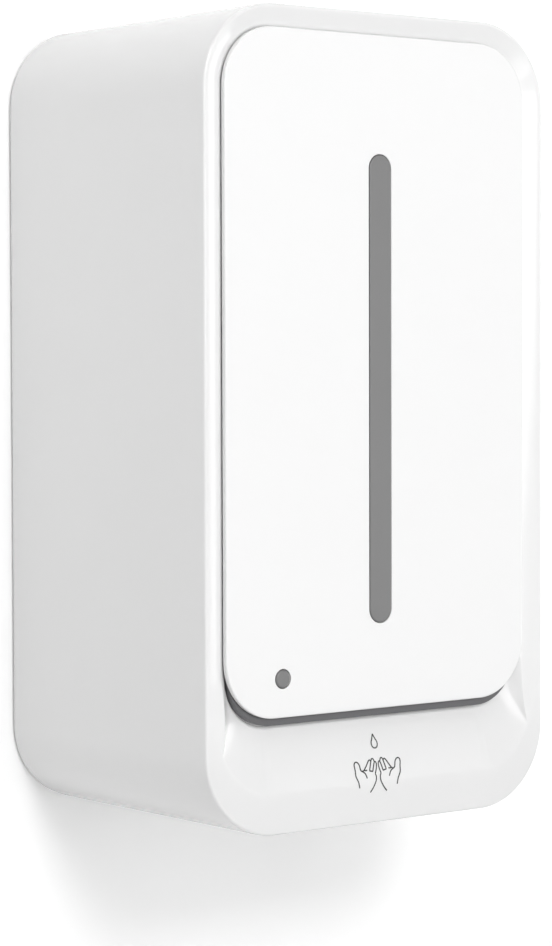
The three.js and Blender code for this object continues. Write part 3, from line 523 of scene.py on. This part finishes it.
cut(cover, cavity, lip_core, slot_hole, lamp_hole, lock_hole, lock_seat, tray_hole, swing_relief,
    angle=COVER_SHARP)
ears = []
for x in (-51.5, 47.5):
    foot = block(x, x + 4, -16, -6, -122.1, HINGE_Z)
    ear = cut(rod("x", HINGE_Y, HINGE_Z, 5, x, x + 4), foot, operation="UNION")
    ears.append(cut(ear, rod("x", HINGE_Y, HINGE_Z, 2.35, x - 1, x + 5, 32)))
cut(cover, *ears, operation="UNION", angle=COVER_SHARP)
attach(cover, "cover")
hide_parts("cover_shell")
print("cover:", len(cover.data.polygons), "faces after its openings are cut")

# %% [markdown]
# ## The rounded plate, as a rule
# The panel, the carrier behind it, the level window and the indicator are all the same thing: a plate
# with round corners and a softened front edge, in different sizes. The carrier's dark grey is painted shade
# for the shadowed gap under the panel. A shape that follows a rule suits Geometry Nodes. The outline is a
# filleted rectangle. A little section, straight up the edge and then a quarter turn, is swept round it, and
# two filled copies of the outline close the front and the back.


# %% Geometry Nodes: rounded plate
def new_tree(name, inputs):
    tree = bpy.data.node_groups.new(name, "GeometryNodeTree")
    tree.interface.new_socket("Geometry", in_out="OUTPUT", socket_type="NodeSocketGeometry")
    ids = {}
    for socket, kind, default in inputs:
        made = tree.interface.new_socket(socket, in_out="INPUT", socket_type=kind)
        if default is not None:
            made.default_value = default
        ids[socket] = made.identifier
    return tree, tree.nodes.new("NodeGroupInput").outputs, tree.nodes.new("NodeGroupOutput"), ids


def join(tree, parts):
    joined = tree.nodes.new("GeometryNodeJoinGeometry")
    for part in parts:
        tree.links.new(part, joined.inputs[0])
    return joined.outputs[0]


def end_tree(tree, out_node, geometry, finish):
    """Makes instances real, sets the finish and ends the tree."""
    geometry = add(tree, "GeometryNodeRealizeInstances", {"Geometry": geometry})
    geometry = add(tree, "GeometryNodeSetMaterial", {"Geometry": geometry, "Material": finish})
    tree.links.new(geometry, out_node.inputs[0])


COUNT, PLACE, OBJECT, FINISH = ("NodeSocket" + kind for kind in ("Int", "Vector", "Object", "Material"))
plate_tree, inp, out_node, plate_ids = new_tree("rounded_plate", [
    ("Width", FLOAT, 0.1), ("Height", FLOAT, 0.1), ("Corner", FLOAT, 0.01), ("Thickness", FLOAT, 0.002),
    ("Edge Round", FLOAT, 0.0004), ("Corner Steps", COUNT, 24), ("Edge Steps", COUNT, 6),
    ("Place", PLACE, (0, 0, 0)), ("Finish", FINISH, None)])


def calc(operation, a, b=0.0):
    return maths(plate_tree, operation, a, b)


def plate_outline(inset):
    """The plate's outline, moved inwards by inset."""
    twice = calc("MULTIPLY", inset, 2.0)
    wide, tall = calc("SUBTRACT", inp["Width"], twice), calc("SUBTRACT", inp["Height"], twice)
    radius = calc("SUBTRACT", inp["Corner"], inset)
    outline = add(plate_tree, "GeometryNodeCurvePrimitiveQuadrilateral", {"Width": wide, "Height": tall})
    return add(plate_tree, "GeometryNodeFilletCurve",
               {"Curve": outline, "Radius": radius, "Count": inp["Corner Steps"]}, mode="POLY")


def moved(geometry, offset):
    return add(plate_tree, "GeometryNodeTransform", {"Geometry": geometry, "Translation": offset})


FLAT = 0.00025  # a narrow flat border keeps the big face's shading flat
section = add(plate_tree, "GeometryNodeCurvePrimitiveLine")
section = {"Curve": section, "Count": calc("ADD", inp["Edge Steps"], 4.0)}
section = add(plate_tree, "GeometryNodeResampleCurve", section)
index = add(plate_tree, "GeometryNodeInputIndex")
share = calc("DIVIDE", calc("SUBTRACT", index, 2.0), inp["Edge Steps"])
turned_by = calc("MULTIPLY", add(plate_tree, "ShaderNodeClamp", {"Value": share}), math.pi / 2)
inset = calc("MULTIPLY", calc("SUBTRACT", 1.0, calc("COSINE", turned_by)), inp["Edge Round"])
at_end = calc("GREATER_THAN", index, calc("ADD", inp["Edge Steps"], 2.5))
inset = calc("ADD", inset, calc("MULTIPLY", at_end, FLAT))
rise = calc("MULTIPLY", calc("SUBTRACT", calc("SINE", turned_by), 1.0), inp["Edge Round"])
rise = calc("MULTIPLY", calc("ADD", rise, inp["Thickness"]), calc("GREATER_THAN", index, 0.5))
second = calc("LESS_THAN", calc("ABSOLUTE", calc("SUBTRACT", index, 1.0)), 0.5)
rise = calc("SUBTRACT", rise, calc("MULTIPLY", second, 0.0002))
inset, rise = calc("MULTIPLY", inset, -1.0), calc("MULTIPLY", rise, -1.0)
place = add(plate_tree, "ShaderNodeCombineXYZ", {"X": inset, "Y": rise})
section = add(plate_tree, "GeometryNodeSetPosition", {"Geometry": section, "Position": place})
edge_band = {"Curve": plate_outline(0.0), "Profile Curve": section}
edge_band = add(plate_tree, "GeometryNodeCurveToMesh", edge_band)
front_outline = plate_outline(calc("ADD", inp["Edge Round"], FLAT))
front_face = add(plate_tree, "GeometryNodeFillCurve", {"Curve": front_outline}, mode="NGONS")
front_face = moved(front_face, add(plate_tree, "ShaderNodeCombineXYZ", {"Z": inp["Thickness"]}))
back_face = add(plate_tree, "GeometryNodeFillCurve", {"Curve": plate_outline(0.0)}, mode="NGONS")
whole = join(plate_tree, (back_face, edge_band, front_face))
whole = add(plate_tree, "GeometryNodeMergeByDistance", {"Geometry": whole, "Distance": 4e-5})
whole = add(plate_tree, "GeometryNodeTransform", {"Geometry": whole, "Rotation": (math.pi / 2, 0, 0)})
end_tree(plate_tree, out_node, moved(whole, inp["Place"]), inp["Finish"])
print("plate inputs:", ", ".join(plate_ids))


# %% Run a tree and keep a plain mesh
def grow(name, tree, ids, values):
    """Runs a Geometry Nodes tree on an empty object and keeps the result as a plain mesh."""
    obj = new_object(name, bpy.data.meshes.new(name))
    modifier = obj.modifiers.new("rule", "NODES")
    modifier.node_group = tree
    for key, value in values.items():
        modifier[ids[key]] = value
    keep_result(obj)
    obj.data.name = name
    return tidy(obj)


def plate(name, finish, x, z, width, height, corner, front, thickness, edge, steps=24):
    """A rounded plate centred on (x, z), in mm, with its face at y = front."""
    values = {"Width": width * MM, "Height": height * MM, "Corner": corner * MM, "Thickness": thickness * MM,
              "Edge Round": edge * MM, "Corner Steps": steps, "Finish": finish,
              "Place": (x * MM, (front + thickness) * MM, z * MM)}
    return grow(name, plate_tree, plate_ids, values)


def stands_for(piece, body, node):
    """The piece rides on its body and replaces a CAD node."""
    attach(piece, body)
    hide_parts(node)


# %% Front panel, carrier, window and indicator
PLAY = 0.25  # gap round the window


def openings(back):
    """Tools for the window's slot and the lamp's hole, down to y = back."""
    half = SLOT_HALF + PLAY
    slot = block(-half, half, -106, back, SLOT_LOW - PLAY, SLOT_HIGH + PLAY, half - 0.01)
    return slot, rod("y", LAMP_X, LAMP_Z, 3.05, -106, back)


panel_low, panel_high = 35.4 - HALF_H, HALF_H - TOP
panel = plate("floating_panel", panel_white, 0, (panel_low + panel_high) / 2, 120, panel_high - panel_low,
              PANEL_CORNER, -104.65, 1.6, 0.45, 40)
cut(panel, *openings(-100))
stands_for(panel, "cover", "front_panel")
carrier_low, carrier_high = 33 - HALF_H, panel_high - 2
# the carrier's dark finish is painted shade for the gap under the panel
carrier = plate("panel_carrier_plate", carrier_grey, 0, (carrier_low + carrier_high) / 2, 116,
                carrier_high - carrier_low, 16, -102.75, 2.7, 0.3)
cut(carrier, *openings(-98))
stands_for(carrier, "cover", "panel_carrier")
window = plate("level_window_bar", smoke_grey, 0, (SLOT_LOW + SLOT_HIGH) / 2, 2 * SLOT_HALF,
               SLOT_HIGH - SLOT_LOW, SLOT_HALF - 0.01, FRONT, 8, 0.45)
stands_for(window, "cover", "level_window")
indicator = plate("indicator_button", smoke_grey, LAMP_X, LAMP_Z, 5.6, 5.6, 2.79, FRONT, 8, 0.7, 16)
stands_for(indicator, "cover", "indicator_lens")
for piece in (panel, carrier, window, indicator):
    print(piece.name, [round(c / MM, 2) for c in piece.dimensions])

# %% [markdown]
# ## The printed sign
# Below the panel a thin grey sign shows a drop over two cupped hands. On the real cover it is pad printed:
# a soft stamp lays a film of ink on the curved scoop. The strokes are drawn flat, as smooth curves, and
# Geometry Nodes gives each stroke its width and then lets every point fall onto the cover along Y, which
# is what the stamp does. The right hand is drawn once and mirrored.

# %% Strokes of the sign
def smooth(points, steps=6):
    """A soft curve through the points (Catmull-Rom)."""
    ends = [points[0], *points, points[-1]]
    curve = []
    for a, b, c, d in zip(ends, ends[1:], ends[2:], ends[3:]):
        for i in range(steps):
            t = i / steps
            curve.append(tuple(0.5 * (2 * q + (r - p) * t + (2 * p - 5 * q + 4 * r - s) * t * t
                                      + (3 * q - p - 3 * r + s) * t ** 3) for p, q, r, s in zip(a, b, c, d)))
    return curve + [points[-1]]


hand = [
    [(2.9, 9.5), (1.8, 11.0), (0.9, 12.8), (0.7, 14.2), (1.0, 15.2)],
    [(1.0, 15.2), (0.45, 17.0), (0.35, 18.3), (0.75, 18.9), (1.15, 18.3), (1.85, 15.9)],
    [(0.95, 18.8), (1.3, 19.7), (1.75, 19.8), (2.1, 19.2), (2.95, 16.2)],
    [(2.15, 19.1), (2.6, 19.5), (3.1, 19.1), (4.0, 17.7), (4.85, 16.5)],
    [(1.85, 15.9), (2.4, 16.1), (2.95, 16.2)],
    [(3.75, 16.5), (4.3, 16.4), (4.85, 16.5), (5.4, 16.2)],
    [(5.4, 16.2), (6.0, 16.7), (6.3, 18.2), (6.9, 19.1), (7.7, 19.2), (8.1, 18.4), (7.9, 16.6), (7.8, 14.9),
     (7.0, 13.1), (6.6, 11.2)],
    [(5.4, 16.2), (4.5, 15.5), (3.9, 14.0)],
]
drop = [(0.0, 27.2), (0.55, 25.9), (1.15, 24.7), (1.05, 23.6), (0.45, 23.0)]
drop += [(-x, z) for x, z in reversed(drop[1:])] + [drop[0]]
SIGN_X, SPREAD = -1.2, 1.15  # the sign's middle, and how much wider the hands are than drawn
both_hands = [[(side * SPREAD * x, z) for x, z in line] for side in (1, -1) for line in hand]
strokes = [smooth([(SIGN_X + x, z) for x, z in line]) for line in both_hands + [drop]]
sign_curve = bpy.data.curves.new("sign_strokes", "CURVE")
sign_curve.dimensions = "3D"
for stroke in strokes:
    spline = sign_curve.splines.new("POLY")
    spline.points.add(len(stroke) - 1)
    for point, (x, z) in zip(spline.points, stroke):
        point.co = (x * MM, 0, (z - HALF_H) * MM, 1)
print("sign:", len(strokes), "strokes")

# %% Geometry Nodes: print on a surface
print_tree, inp, out_node, print_ids = new_tree("surface_print", [
    ("Strokes", OBJECT, None), ("Stroke Width", FLOAT, 0.0004), ("Ink", FLOAT, 0.00002),
    ("Surface", OBJECT, None), ("Finish", FINISH, None)])
lines = add(print_tree, "GeometryNodeObjectInfo", {"Object": inp["Strokes"]}, out="Geometry")
lines = add(print_tree, "GeometryNodeResampleCurve", {"Curve": lines, "Length": 0.00018}, mode="LENGTH")
pen = add(print_tree, "GeometryNodeCurvePrimitiveCircle",
          {"Resolution": 6, "Radius": maths(print_tree, "MULTIPLY", inp["Stroke Width"], 0.5)})
inked = add(print_tree, "GeometryNodeCurveToMesh", {"Curve": lines, "Profile Curve": pen, "Fill Caps": True})
here = add(print_tree, "GeometryNodeInputPosition")
here = add(print_tree, "ShaderNodeSeparateXYZ", {0: here}).node.outputs
start = add(print_tree, "ShaderNodeCombineXYZ", {"X": here["X"], "Y": -0.2, "Z": here["Z"]})
skin = add(print_tree, "GeometryNodeObjectInfo", {"Object": inp["Surface"]}, out="Geometry")
fall = {"Target Geometry": skin, "Source Position": start, "Ray Direction": (0, 1, 0), "Ray Length": 0.3}
landed = add(print_tree, "GeometryNodeRaycast", fall, out="Hit Position")
landed = add(print_tree, "ShaderNodeSeparateXYZ", {0: landed}, out="Y")
film = maths(print_tree, "MULTIPLY", maths(print_tree, "DIVIDE", here["Y"], inp["Stroke Width"]), inp["Ink"])
depth = maths(print_tree, "SUBTRACT", maths(print_tree, "ADD", landed, film), inp["Ink"])
landing = add(print_tree, "ShaderNodeCombineXYZ", {"X": here["X"], "Y": depth, "Z": here["Z"]})
inked = add(print_tree, "GeometryNodeSetPosition", {"Geometry": inked, "Position": landing})
end_tree(print_tree, out_node, inked, inp["Finish"])
sign_lines = new_object("sign_strokes", sign_curve)
stamp = {"Strokes": sign_lines, "Stroke Width": 0.5 * MM, "Ink": 0.03 * MM, "Surface": cover,
         "Finish": print_grey}
sign = grow("printed_sign", print_tree, print_ids, stamp)
bpy.data.objects.remove(sign_lines)
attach(sign, "cover")
print("printed sign:", len(sign.data.polygons), "faces")

# %% [markdown]
# ## More finishes
# Inside, the dispenser is plain engineering: satin mouldings, a milky tank, waxy acetal gears, black seals
# and zinc-plated steel. Metals share a second node group, with fine drawn lines and a few rubbed spots.

# %% Node group: worked metal
worked, given, result = new_group(
    "worked_metal",
    [("Line Scale", FLOAT, 300.0), ("Gloss", FLOAT, 0.3), ("Rub", FLOAT, 0.15)],
    [("Tone", FLOAT), ("Roughness", FLOAT), ("Height", FLOAT)],
)
where = add(worked, "ShaderNodeTexCoord", out="Object")
drawn = add(worked, "ShaderNodeMapping", {"Vector": where, "Scale": (1.0, 14.0, 14.0)})
drawn = noise(worked, drawn, given.outputs["Line Scale"], 4.0)
spots = noise(worked, where, 220.0, 6.0)
spots = add(worked, "ShaderNodeMapRange", {"Value": spots, "From Min": 0.5, "From Max": 0.7})
rubbed = maths(worked, "MULTIPLY", spots, given.outputs["Rub"])
lined = add(worked, "ShaderNodeMapRange", {"Value": drawn, "To Min": -0.06, "To Max": 0.06})
rough = maths(worked, "ADD", given.outputs["Gloss"], rubbed)
rough = maths(worked, "ADD", rough, lined)
for socket, value in (("Tone", spots), ("Roughness", rough), ("Height", drawn)):
    worked.links.new(value, result.inputs[socket])


def metal(name, colour, gloss, lines=300.0, rub=0.15):
    mat, tree, shader = new_material(name)
    face = use_group(tree, worked, {"Line Scale": lines, "Gloss": gloss, "Rub": rub})
    duller = tuple(c * 0.82 for c in colour)  # the tone of a rubbed spot
    tree.links.new(mix_colour(tree, face["Tone"], colour, duller), shader.inputs["Base Color"])
    rough_and_bump(tree, shader, face, 0.05, 0.0002)
    shader.inputs["Metallic"].default_value = 1.0
    return mat


zinc = metal("zinc_plate", (0.62, 0.63, 0.64), 0.3)
motor_steel = metal("motor_can_steel", (0.5, 0.5, 0.5), 0.36, lines=500.0)
brass = metal("turned_brass", (0.72, 0.52, 0.22), 0.24, lines=700.0, rub=0.1)
chassis_white = plastic("chassis_white", (0.74, 0.74, 0.72), 0.38, peel=2400.0, depth=0.05, spread=0.03)
tray_grey = plastic("tray_grey", (0.075, 0.078, 0.085), 0.45, peel=2400.0, depth=0.08, smudge=0.1)
box_black = plastic("box_black", (0.012, 0.012, 0.013), 0.4, peel=2200.0, depth=0.08, smudge=0.12)
tank_milk = plastic("tank_milk", (0.72, 0.78, 0.8), 0.3, peel=500.0, depth=0.03, Transmission_Weight=0.3,
                    IOR=1.5)
dark_glass = plastic("sensor_black", (0.006, 0.004, 0.008), 0.06, depth=0.004, smudge=0.12)
acetal = plastic("waxy_acetal", (0.76, 0.73, 0.64), 0.36, peel=1500.0, depth=0.03, Subsurface_Weight=0.1,
                 Subsurface_Scale=0.002)
silicone = plastic("milky_silicone", (0.62, 0.58, 0.5), 0.5, peel=1200.0, depth=0.05, smudge=0.15)
seal_black = plastic("seal_rubber", (0.02, 0.02, 0.02), 0.7, peel=3000.0, depth=0.15, smudge=0.1, spread=0.15)
board_green = plastic("board_green", (0.012, 0.12, 0.045), 0.28, peel=1800.0, depth=0.03)
print("metals:", zinc.name, motor_steel.name, brass.name)

# %% [markdown]
# ## Softened copies of the CAD pieces
# A CAD solid has mathematically sharp edges, and nothing moulded or pressed does. Each piece that keeps its
# CAD shape is copied, its triangles are welded and its flat faces made whole, and a small bevel breaks every
# edge that turns more than a set angle, as the radius of the mould does. Weighted normals keep the large
# flats flat in shading. The copy then stands for the CAD piece.


# %% Soften a CAD node
def softened(node, finish, radius, body="chassis", angle=35):
    """radius is the bevel's, in mm; an edge that turns more than angle gets it."""
    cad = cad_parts[node]
    obj = cad.copy()
    obj.data = cad.data.copy()
    obj.name = obj.data.name = node + "_piece"
    scene.collection.objects.link(obj)
    bm = bmesh.new()
    bm.from_mesh(obj.data)
    bmesh.ops.remove_doubles(bm, verts=bm.verts, dist=2e-6)
    bmesh.ops.dissolve_limit(bm, angle_limit=math.radians(0.5), verts=bm.verts, edges=bm.edges)
    bm.to_mesh(obj.data)
    bm.free()
    obj.data.materials.clear()
    obj.data.materials.append(finish)
    for face in obj.data.polygons:
        face.use_smooth = True
    obj.data.set_sharp_from_angle(angle=math.radians(angle))
    obj.parent = None
    obj.matrix_world = Matrix()
    bevel = obj.modifiers.new("edge", "BEVEL")
    bevel.width = radius * MM
    bevel.segments = 2
    bevel.limit_method = "ANGLE"
    bevel.angle_limit = math.radians(angle)
    flats = obj.modifiers.new("flats", "WEIGHTED_NORMAL")
    flats.keep_sharp = True
    flats.weight = 100
    keep_result(obj)
    stands_for(obj, body, node)
    return obj


soft_list = [  # node, finish, bevel in mm, and the body if it isn't the chassis
    ("wall_plate", chassis_white, 0.4), ("tank_body", tank_milk, 0.5), ("tank_top", chassis_white, 0.4),
    ("module_case", chassis_white, 0.4), ("module_front", chassis_white, 0.35),
    ("bottom_tray", tray_grey, 0.4), ("lock_keeper", zinc, 0.3), ("battery_box", box_black, 0.3),
    ("pump_housing", tray_grey, 0.3), ("pump_lid", tank_milk, 0.3), ("gear_plate", zinc, 0.2),
    ("motor", motor_steel, 0.4), ("nozzle", acetal, 0.3), ("fill_lid", chassis_white, 0.5, "lid"),
    ("lid_gasket", seal_black, 0.3, "lid"), ("battery_door", chassis_white, 0.35, "door"),
    ("switch_knob", box_black, 0.25, "knob"), ("power_switch", box_black, 0.3),
    ("sensor_window", dark_glass, 0.25), ("lock_nut", zinc, 0.3, "cover"),
    ("lock_barrel", zinc, 0.35, "cover"), ("lock_plug", brass, 0.2, "lock"),
    ("lock_cam", zinc, 0.2, "lock"), ("hinge_pin_left", zinc, 0.3), ("hinge_pin_right", zinc, 0.3),
    ("control_board", board_green, 0.1), ("indicator_led", tank_milk, 0.2),
]
made = {row[0]: softened(*row) for row in soft_list}
board = made["control_board"]
print("softened:", len(soft_list), "pieces")

# %% Soften the small working parts
small_list = [
    ("tank_seal", seal_black, 0.15), ("outlet_o_ring", seal_black, 0.1), ("outlet_fitting", acetal, 0.2),
    ("pump_rotor", acetal, 0.15, "rotor"), ("drive_gear", acetal, 0.08, "rotor"),
    ("pump_roller_1", acetal, 0.3, "roller_a"), ("pump_roller_2", acetal, 0.3, "roller_b"),
    ("pump_roller_3", acetal, 0.3, "roller_c"), ("nozzle_valve", silicone, 0.15),
    ("motor_pinion", brass, 0.05, "pinion"), ("contact_bridge_upper", zinc, 0.1),
    ("contact_bridge_lower", zinc, 0.1), ("sensor_emitter", dark_glass, 0.3),
    ("sensor_receiver", dark_glass, 0.3), ("cam_screw", zinc, 0.3, "lock"),
]
for row in small_list:
    softened(*row, angle=40)
print("softened:", len(small_list), "working parts")

# %% [markdown]
# ## Screws
# Every screw is the same pan head with a cross recess, in three sizes, so one is made and the rest are
# placed by Geometry Nodes: a point for each screw carries its head's radius and its length, and the tree
# puts a scaled head and a stretched shank there.

# %% One screw head and one shank, a unit in radius
def turned_piece(name, profile, segments=24):
    """Turns (radius, y) points round the Y axis; the profile starts and ends on the axis."""
    return loft(name, [[Vector((r * c, y, r * s)) for c, s in circle(segments)] for r, y in profile])


dome = [(0.02, -0.7), (0.5, -0.68), (0.75, -0.6), (0.92, -0.45), (1.0, -0.22), (1.0, -0.02), (0.97, 0.0),
        (0.02, 0.0)]
head = turned_piece("screw_head", dome)
arms = []
for w, h in ((0.13, 0.55), (0.55, 0.13)):  # the two bars of the cross recess
    arms.append(loft("tool", [[Vector((x, y, z)) for x, z in ((-w, -h), (w, -h), (w, h), (-w, h))]
                              for y in (-0.9, -0.3)]))
cut(head, *arms)
shank = turned_piece("screw_shank", [(0.02, -0.05), (0.36, -0.05), (0.36, 0.92), (0.02, 1.0)], 12)

# %% Geometry Nodes: screws on points
screw_tree, inp, out_node, screw_ids = new_tree("screws_on_points", [
    ("Points", OBJECT, None), ("Head", OBJECT, None), ("Shank", OBJECT, None),
    ("Finish", FINISH, None)])
spots = add(screw_tree, "GeometryNodeObjectInfo", {"Object": inp["Points"]}, out="Geometry")
size = add(screw_tree, "GeometryNodeInputNamedAttribute", {"Name": "head_radius"}, data_type="FLOAT")
long = add(screw_tree, "GeometryNodeInputNamedAttribute", {"Name": "shank_length"}, data_type="FLOAT")
copies = []
for part, scale in (("Head", add(screw_tree, "ShaderNodeCombineXYZ", {"X": size, "Y": size, "Z": size})),
                    ("Shank", add(screw_tree, "ShaderNodeCombineXYZ", {"X": size, "Y": long, "Z": size}))):
    shape = add(screw_tree, "GeometryNodeObjectInfo", {"Object": inp[part]}, out="Geometry")
    placing = {"Points": spots, "Instance": shape, "Scale": scale}
    copies.append(add(screw_tree, "GeometryNodeInstanceOnPoints", placing))
end_tree(screw_tree, out_node, join(screw_tree, copies), inp["Finish"])


def screws(name, body, places, nodes):
    """places: x, z, y under the head, head radius and shank length, in mm."""
    points = as_object("points", [(x * MM, y * MM, z * MM) for x, z, y, _, _ in places], [])
    for attribute, column in (("head_radius", 3), ("shank_length", 4)):
        layer = points.data.attributes.new(attribute, "FLOAT", "POINT")
        layer.data.foreach_set("value", [p[column] * MM for p in places])
    obj = grow(name, screw_tree, screw_ids, {"Points": points, "Head": head, "Shank": shank, "Finish": zinc})
    bpy.data.objects.remove(points)
    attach(obj, body)
    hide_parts(*nodes)
    print(name, len(obj.data.polygons), "faces")


module_places = [(x, z, -94.3, 2.9, 13.0) for x, z in ((-51, -61), (9, -61), (-51, -107), (9, -107))]
screws("module_screws", "chassis", module_places, [f"module_screw_{i}" for i in (1, 2, 3, 4)])
screws("keeper_screws", "chassis", [(31, 109, -5.2, 3.0, 2.2), (31, 102, -5.2, 3.0, 2.2)],
       ["keeper_screw_upper", "keeper_screw_lower"])
screws("pump_screws", "chassis", [(-44, -67.4, -88.5, 2.4, 13.0), (-6.6, -85, -88.5, 2.4, 13.0)],
       ["pump_screw_1", "pump_screw_2"])
for tool in (head, shank):
    bpy.data.objects.remove(tool)

# %% [markdown]
# ## Batteries
# Four round cells lie head to tail behind the sliding door. A real cell is a steel can in a shrunk sleeve:
# the sleeve curls over a small bead at each end, the flat end is a recessed disc and the other end carries
# a button. All of that is one outline turned round the cell's axis. The sleeve is dark with a copper band.

# %% Turn the cells
sleeve_dark = plastic("sleeve_dark", (0.018, 0.02, 0.026), 0.22, depth=0.01, smudge=0.1)
sleeve_copper = metal("sleeve_copper", (0.55, 0.27, 0.13), 0.25, lines=900.0, rub=0.1)
cell_outline = [(0.02, 0.1), (4.4, 0.1), (4.6, 0.35), (6.3, 0.35), (6.5, 0.0), (6.9, 0.08), (7.08, 0.35),
                (7.1, 0.8), (7.1, 36.0), (7.1, 48.2), (7.08, 48.65), (6.9, 48.93), (6.5, 49.0), (6.25, 48.7),
                (3.4, 48.7), (2.78, 48.85), (2.7, 49.1), (2.7, 49.75), (2.5, 50.0), (0.02, 50.0)]
for number in (1, 2, 3, 4):
    low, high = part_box(f"battery_{number}")
    middle = ((low[0] + high[0]) / 2, (low[2] + high[2]) / 2)
    button_back = number % 2 == 1  # neighbours lie head to tail
    rings = []
    for r, along in cell_outline:
        y = low[1] + along * MM if button_back else high[1] - along * MM
        rings.append([Vector((middle[0] + r * MM * c, y, middle[1] + r * MM * s)) for c, s in circle(48)])
    cell = loft(f"cell_{number}", rings, sleeve_dark, sleeve_copper, zinc)
    for face in cell.data.polygons:
        along = (face.center.y - low[1] if button_back else high[1] - face.center.y) / MM
        out = math.hypot(face.center.x - middle[0], face.center.z - middle[1]) / MM
        face.material_index = 2 if out < 6.3 else (1 if along > 36 else 0)
    stands_for(cell, "chassis", f"battery_{number}")
print("cells:", len(cell.data.polygons), "faces each")

# %% [markdown]
# ## Ribs
# Moulded parts carry rows of ribs: finger grips on the filler lid, level marks on the tank and long
# stiffeners inside the cover. All are the same round bar, half sunk and repeated, so one tree makes them
# from the bar's ends, its radius, the step and the number.

# %% Geometry Nodes: a row of bars
bar_tree, inp, out_node, bar_ids = new_tree("row_of_bars", [
    ("From", PLACE, (0, 0, 0)), ("To", PLACE, (0.01, 0, 0)), ("Radius", FLOAT, 0.0005),
    ("Step", PLACE, (0, 0, 0.002)), ("Bars", COUNT, 3), ("Finish", FINISH, None)])
bar = add(bar_tree, "GeometryNodeCurvePrimitiveLine", {"Start": inp["From"], "End": inp["To"]})
section = add(bar_tree, "GeometryNodeCurvePrimitiveCircle", {"Resolution": 16, "Radius": inp["Radius"]})
bar = add(bar_tree, "GeometryNodeCurveToMesh", {"Curve": bar, "Profile Curve": section, "Fill Caps": True})
spots = add(bar_tree, "GeometryNodeMeshLine", {"Count": inp["Bars"], "Offset": inp["Step"]}, mode="OFFSET")
row = add(bar_tree, "GeometryNodeInstanceOnPoints", {"Points": spots, "Instance": bar})
end_tree(bar_tree, out_node, row, inp["Finish"])


def ribs(name, body, finish, start, end, radius, step, count):
    """A row of half-sunk bars; every measure is in mm."""
    row = grow(name, bar_tree, bar_ids, {
        "From": [c * MM for c in start], "To": [c * MM for c in end], "Radius": radius * MM,
        "Step": [c * MM for c in step], "Bars": count, "Finish": finish})
    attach(row, body)
    print(name, count, "bars")


GRIP_Z = 84.85  # just under the lid's top face
tank_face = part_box("tank_body")[0][1] / MM
ribs("lid_grips", "lid", chassis_white,
     (-12, -83.5, GRIP_Z), (12, -83.5, GRIP_Z), 0.45, (0, 2, 0), 5)
ribs("tank_level_marks", "chassis", tank_milk,
     (-46, tank_face, -40), (-38, tank_face, -40), 0.4, (0, 0, 10), 11)
for side, x in (("left", -50), ("right", 16)):
    ribs("cover_stiffeners_" + side, "cover", gloss_white,
         (x, IN_FRONT, -22), (x, IN_FRONT, 104), 1.1, (17, 0, 0), 3)

# %% [markdown]
# ## The pump's hose
# One silicone hose runs from the tank's outlet, round the pump's track and down to the nozzle. It is round
# where it is free and squeezed flat where the rollers roll along it. Its middle line lies in one upright
# plane, so a ring that is turned to the line and slowly squashed makes the whole hose in one loft.

# %% Loft the hose
TRACK_X, TRACK_Z, TRACK_R = -27.0, -85.0, 17.0  # the track's middle and radius
HOSE_R = 2.5
PRESSED, SPREAD_OUT = 0.65, 4.0  # half height and half width where it is flat
HOSE_Y, NOZZLE_BACK = -79.5, 0.5  # the hose's plane, and how much nearer the wall the nozzle is
line = [(-8.0, -64.0), (-8.0, -64.35), (-8.0, -64.7), (-8.6, -66.4), (-10.6, -67.7), (-13.5, -68.0),
        (-17.5, -68.0), (-22.0, -68.0)]
line += [(TRACK_X + TRACK_R * math.cos(a), TRACK_Z + TRACK_R * math.sin(a))
         for a in (math.radians(90 + 15 * i) for i in range(13))]
line += [(-22.0, -102.0), (-17.5, -102.0), (-8.0, -102.0), (-4.4, -102.3), (-1.7, -103.8), (-0.4, -106.4),
         (0.0, -109.0), (0.0, -111.0)]
line = smooth(line, 5)
rings = []
for i, (x, z) in enumerate(line):
    (ax, az), (bx, bz) = line[max(0, i - 1)], line[min(len(line) - 1, i + 1)]
    long = math.hypot(bx - ax, bz - az)
    across = ((az - bz) / long, (bx - ax) / long)
    flat = ease((-12.0 - x) / 7.0)  # round right of the track, flat in it
    high = HOSE_R + (PRESSED - HOSE_R) * flat
    wide = HOSE_R + (SPREAD_OUT - HOSE_R) * flat
    y = HOSE_Y + NOZZLE_BACK * min(1.0, max(0.0, (-103.0 - z) / 6.0))
    rings.append([Vector((x + across[0] * high * c, y + wide * s, z + across[1] * high * c)) * MM
                  for c, s in circle(24)])
hose = loft("pump_hose_tube", rings, silicone, angle=60)
stands_for(hose, "chassis", "pump_hose")
print("hose:", len(hose.data.polygons), "faces in", len(rings), "rings")

# %% [markdown]
# ## The control board's parts
# On the board a black chip and a metal-cased capacitor stand on the green lacquer. They are one body with
# the board, so the faces above the lacquer simply take their own finishes.

# %% Finishes of the board's parts
LACQUER, CHIP_SIDE = -106.55, -32  # height of the lacquer, and the x that parts the chip from the capacitor
board.data.materials.append(box_black)
board.data.materials.append(zinc)
for face in board.data.polygons:
    if face.center.z > LACQUER * MM:
        face.material_index = 1 if face.center.x < CHIP_SIDE * MM else 2
print("control board:", len(board.data.polygons), "faces in", len(board.data.materials), "finishes")
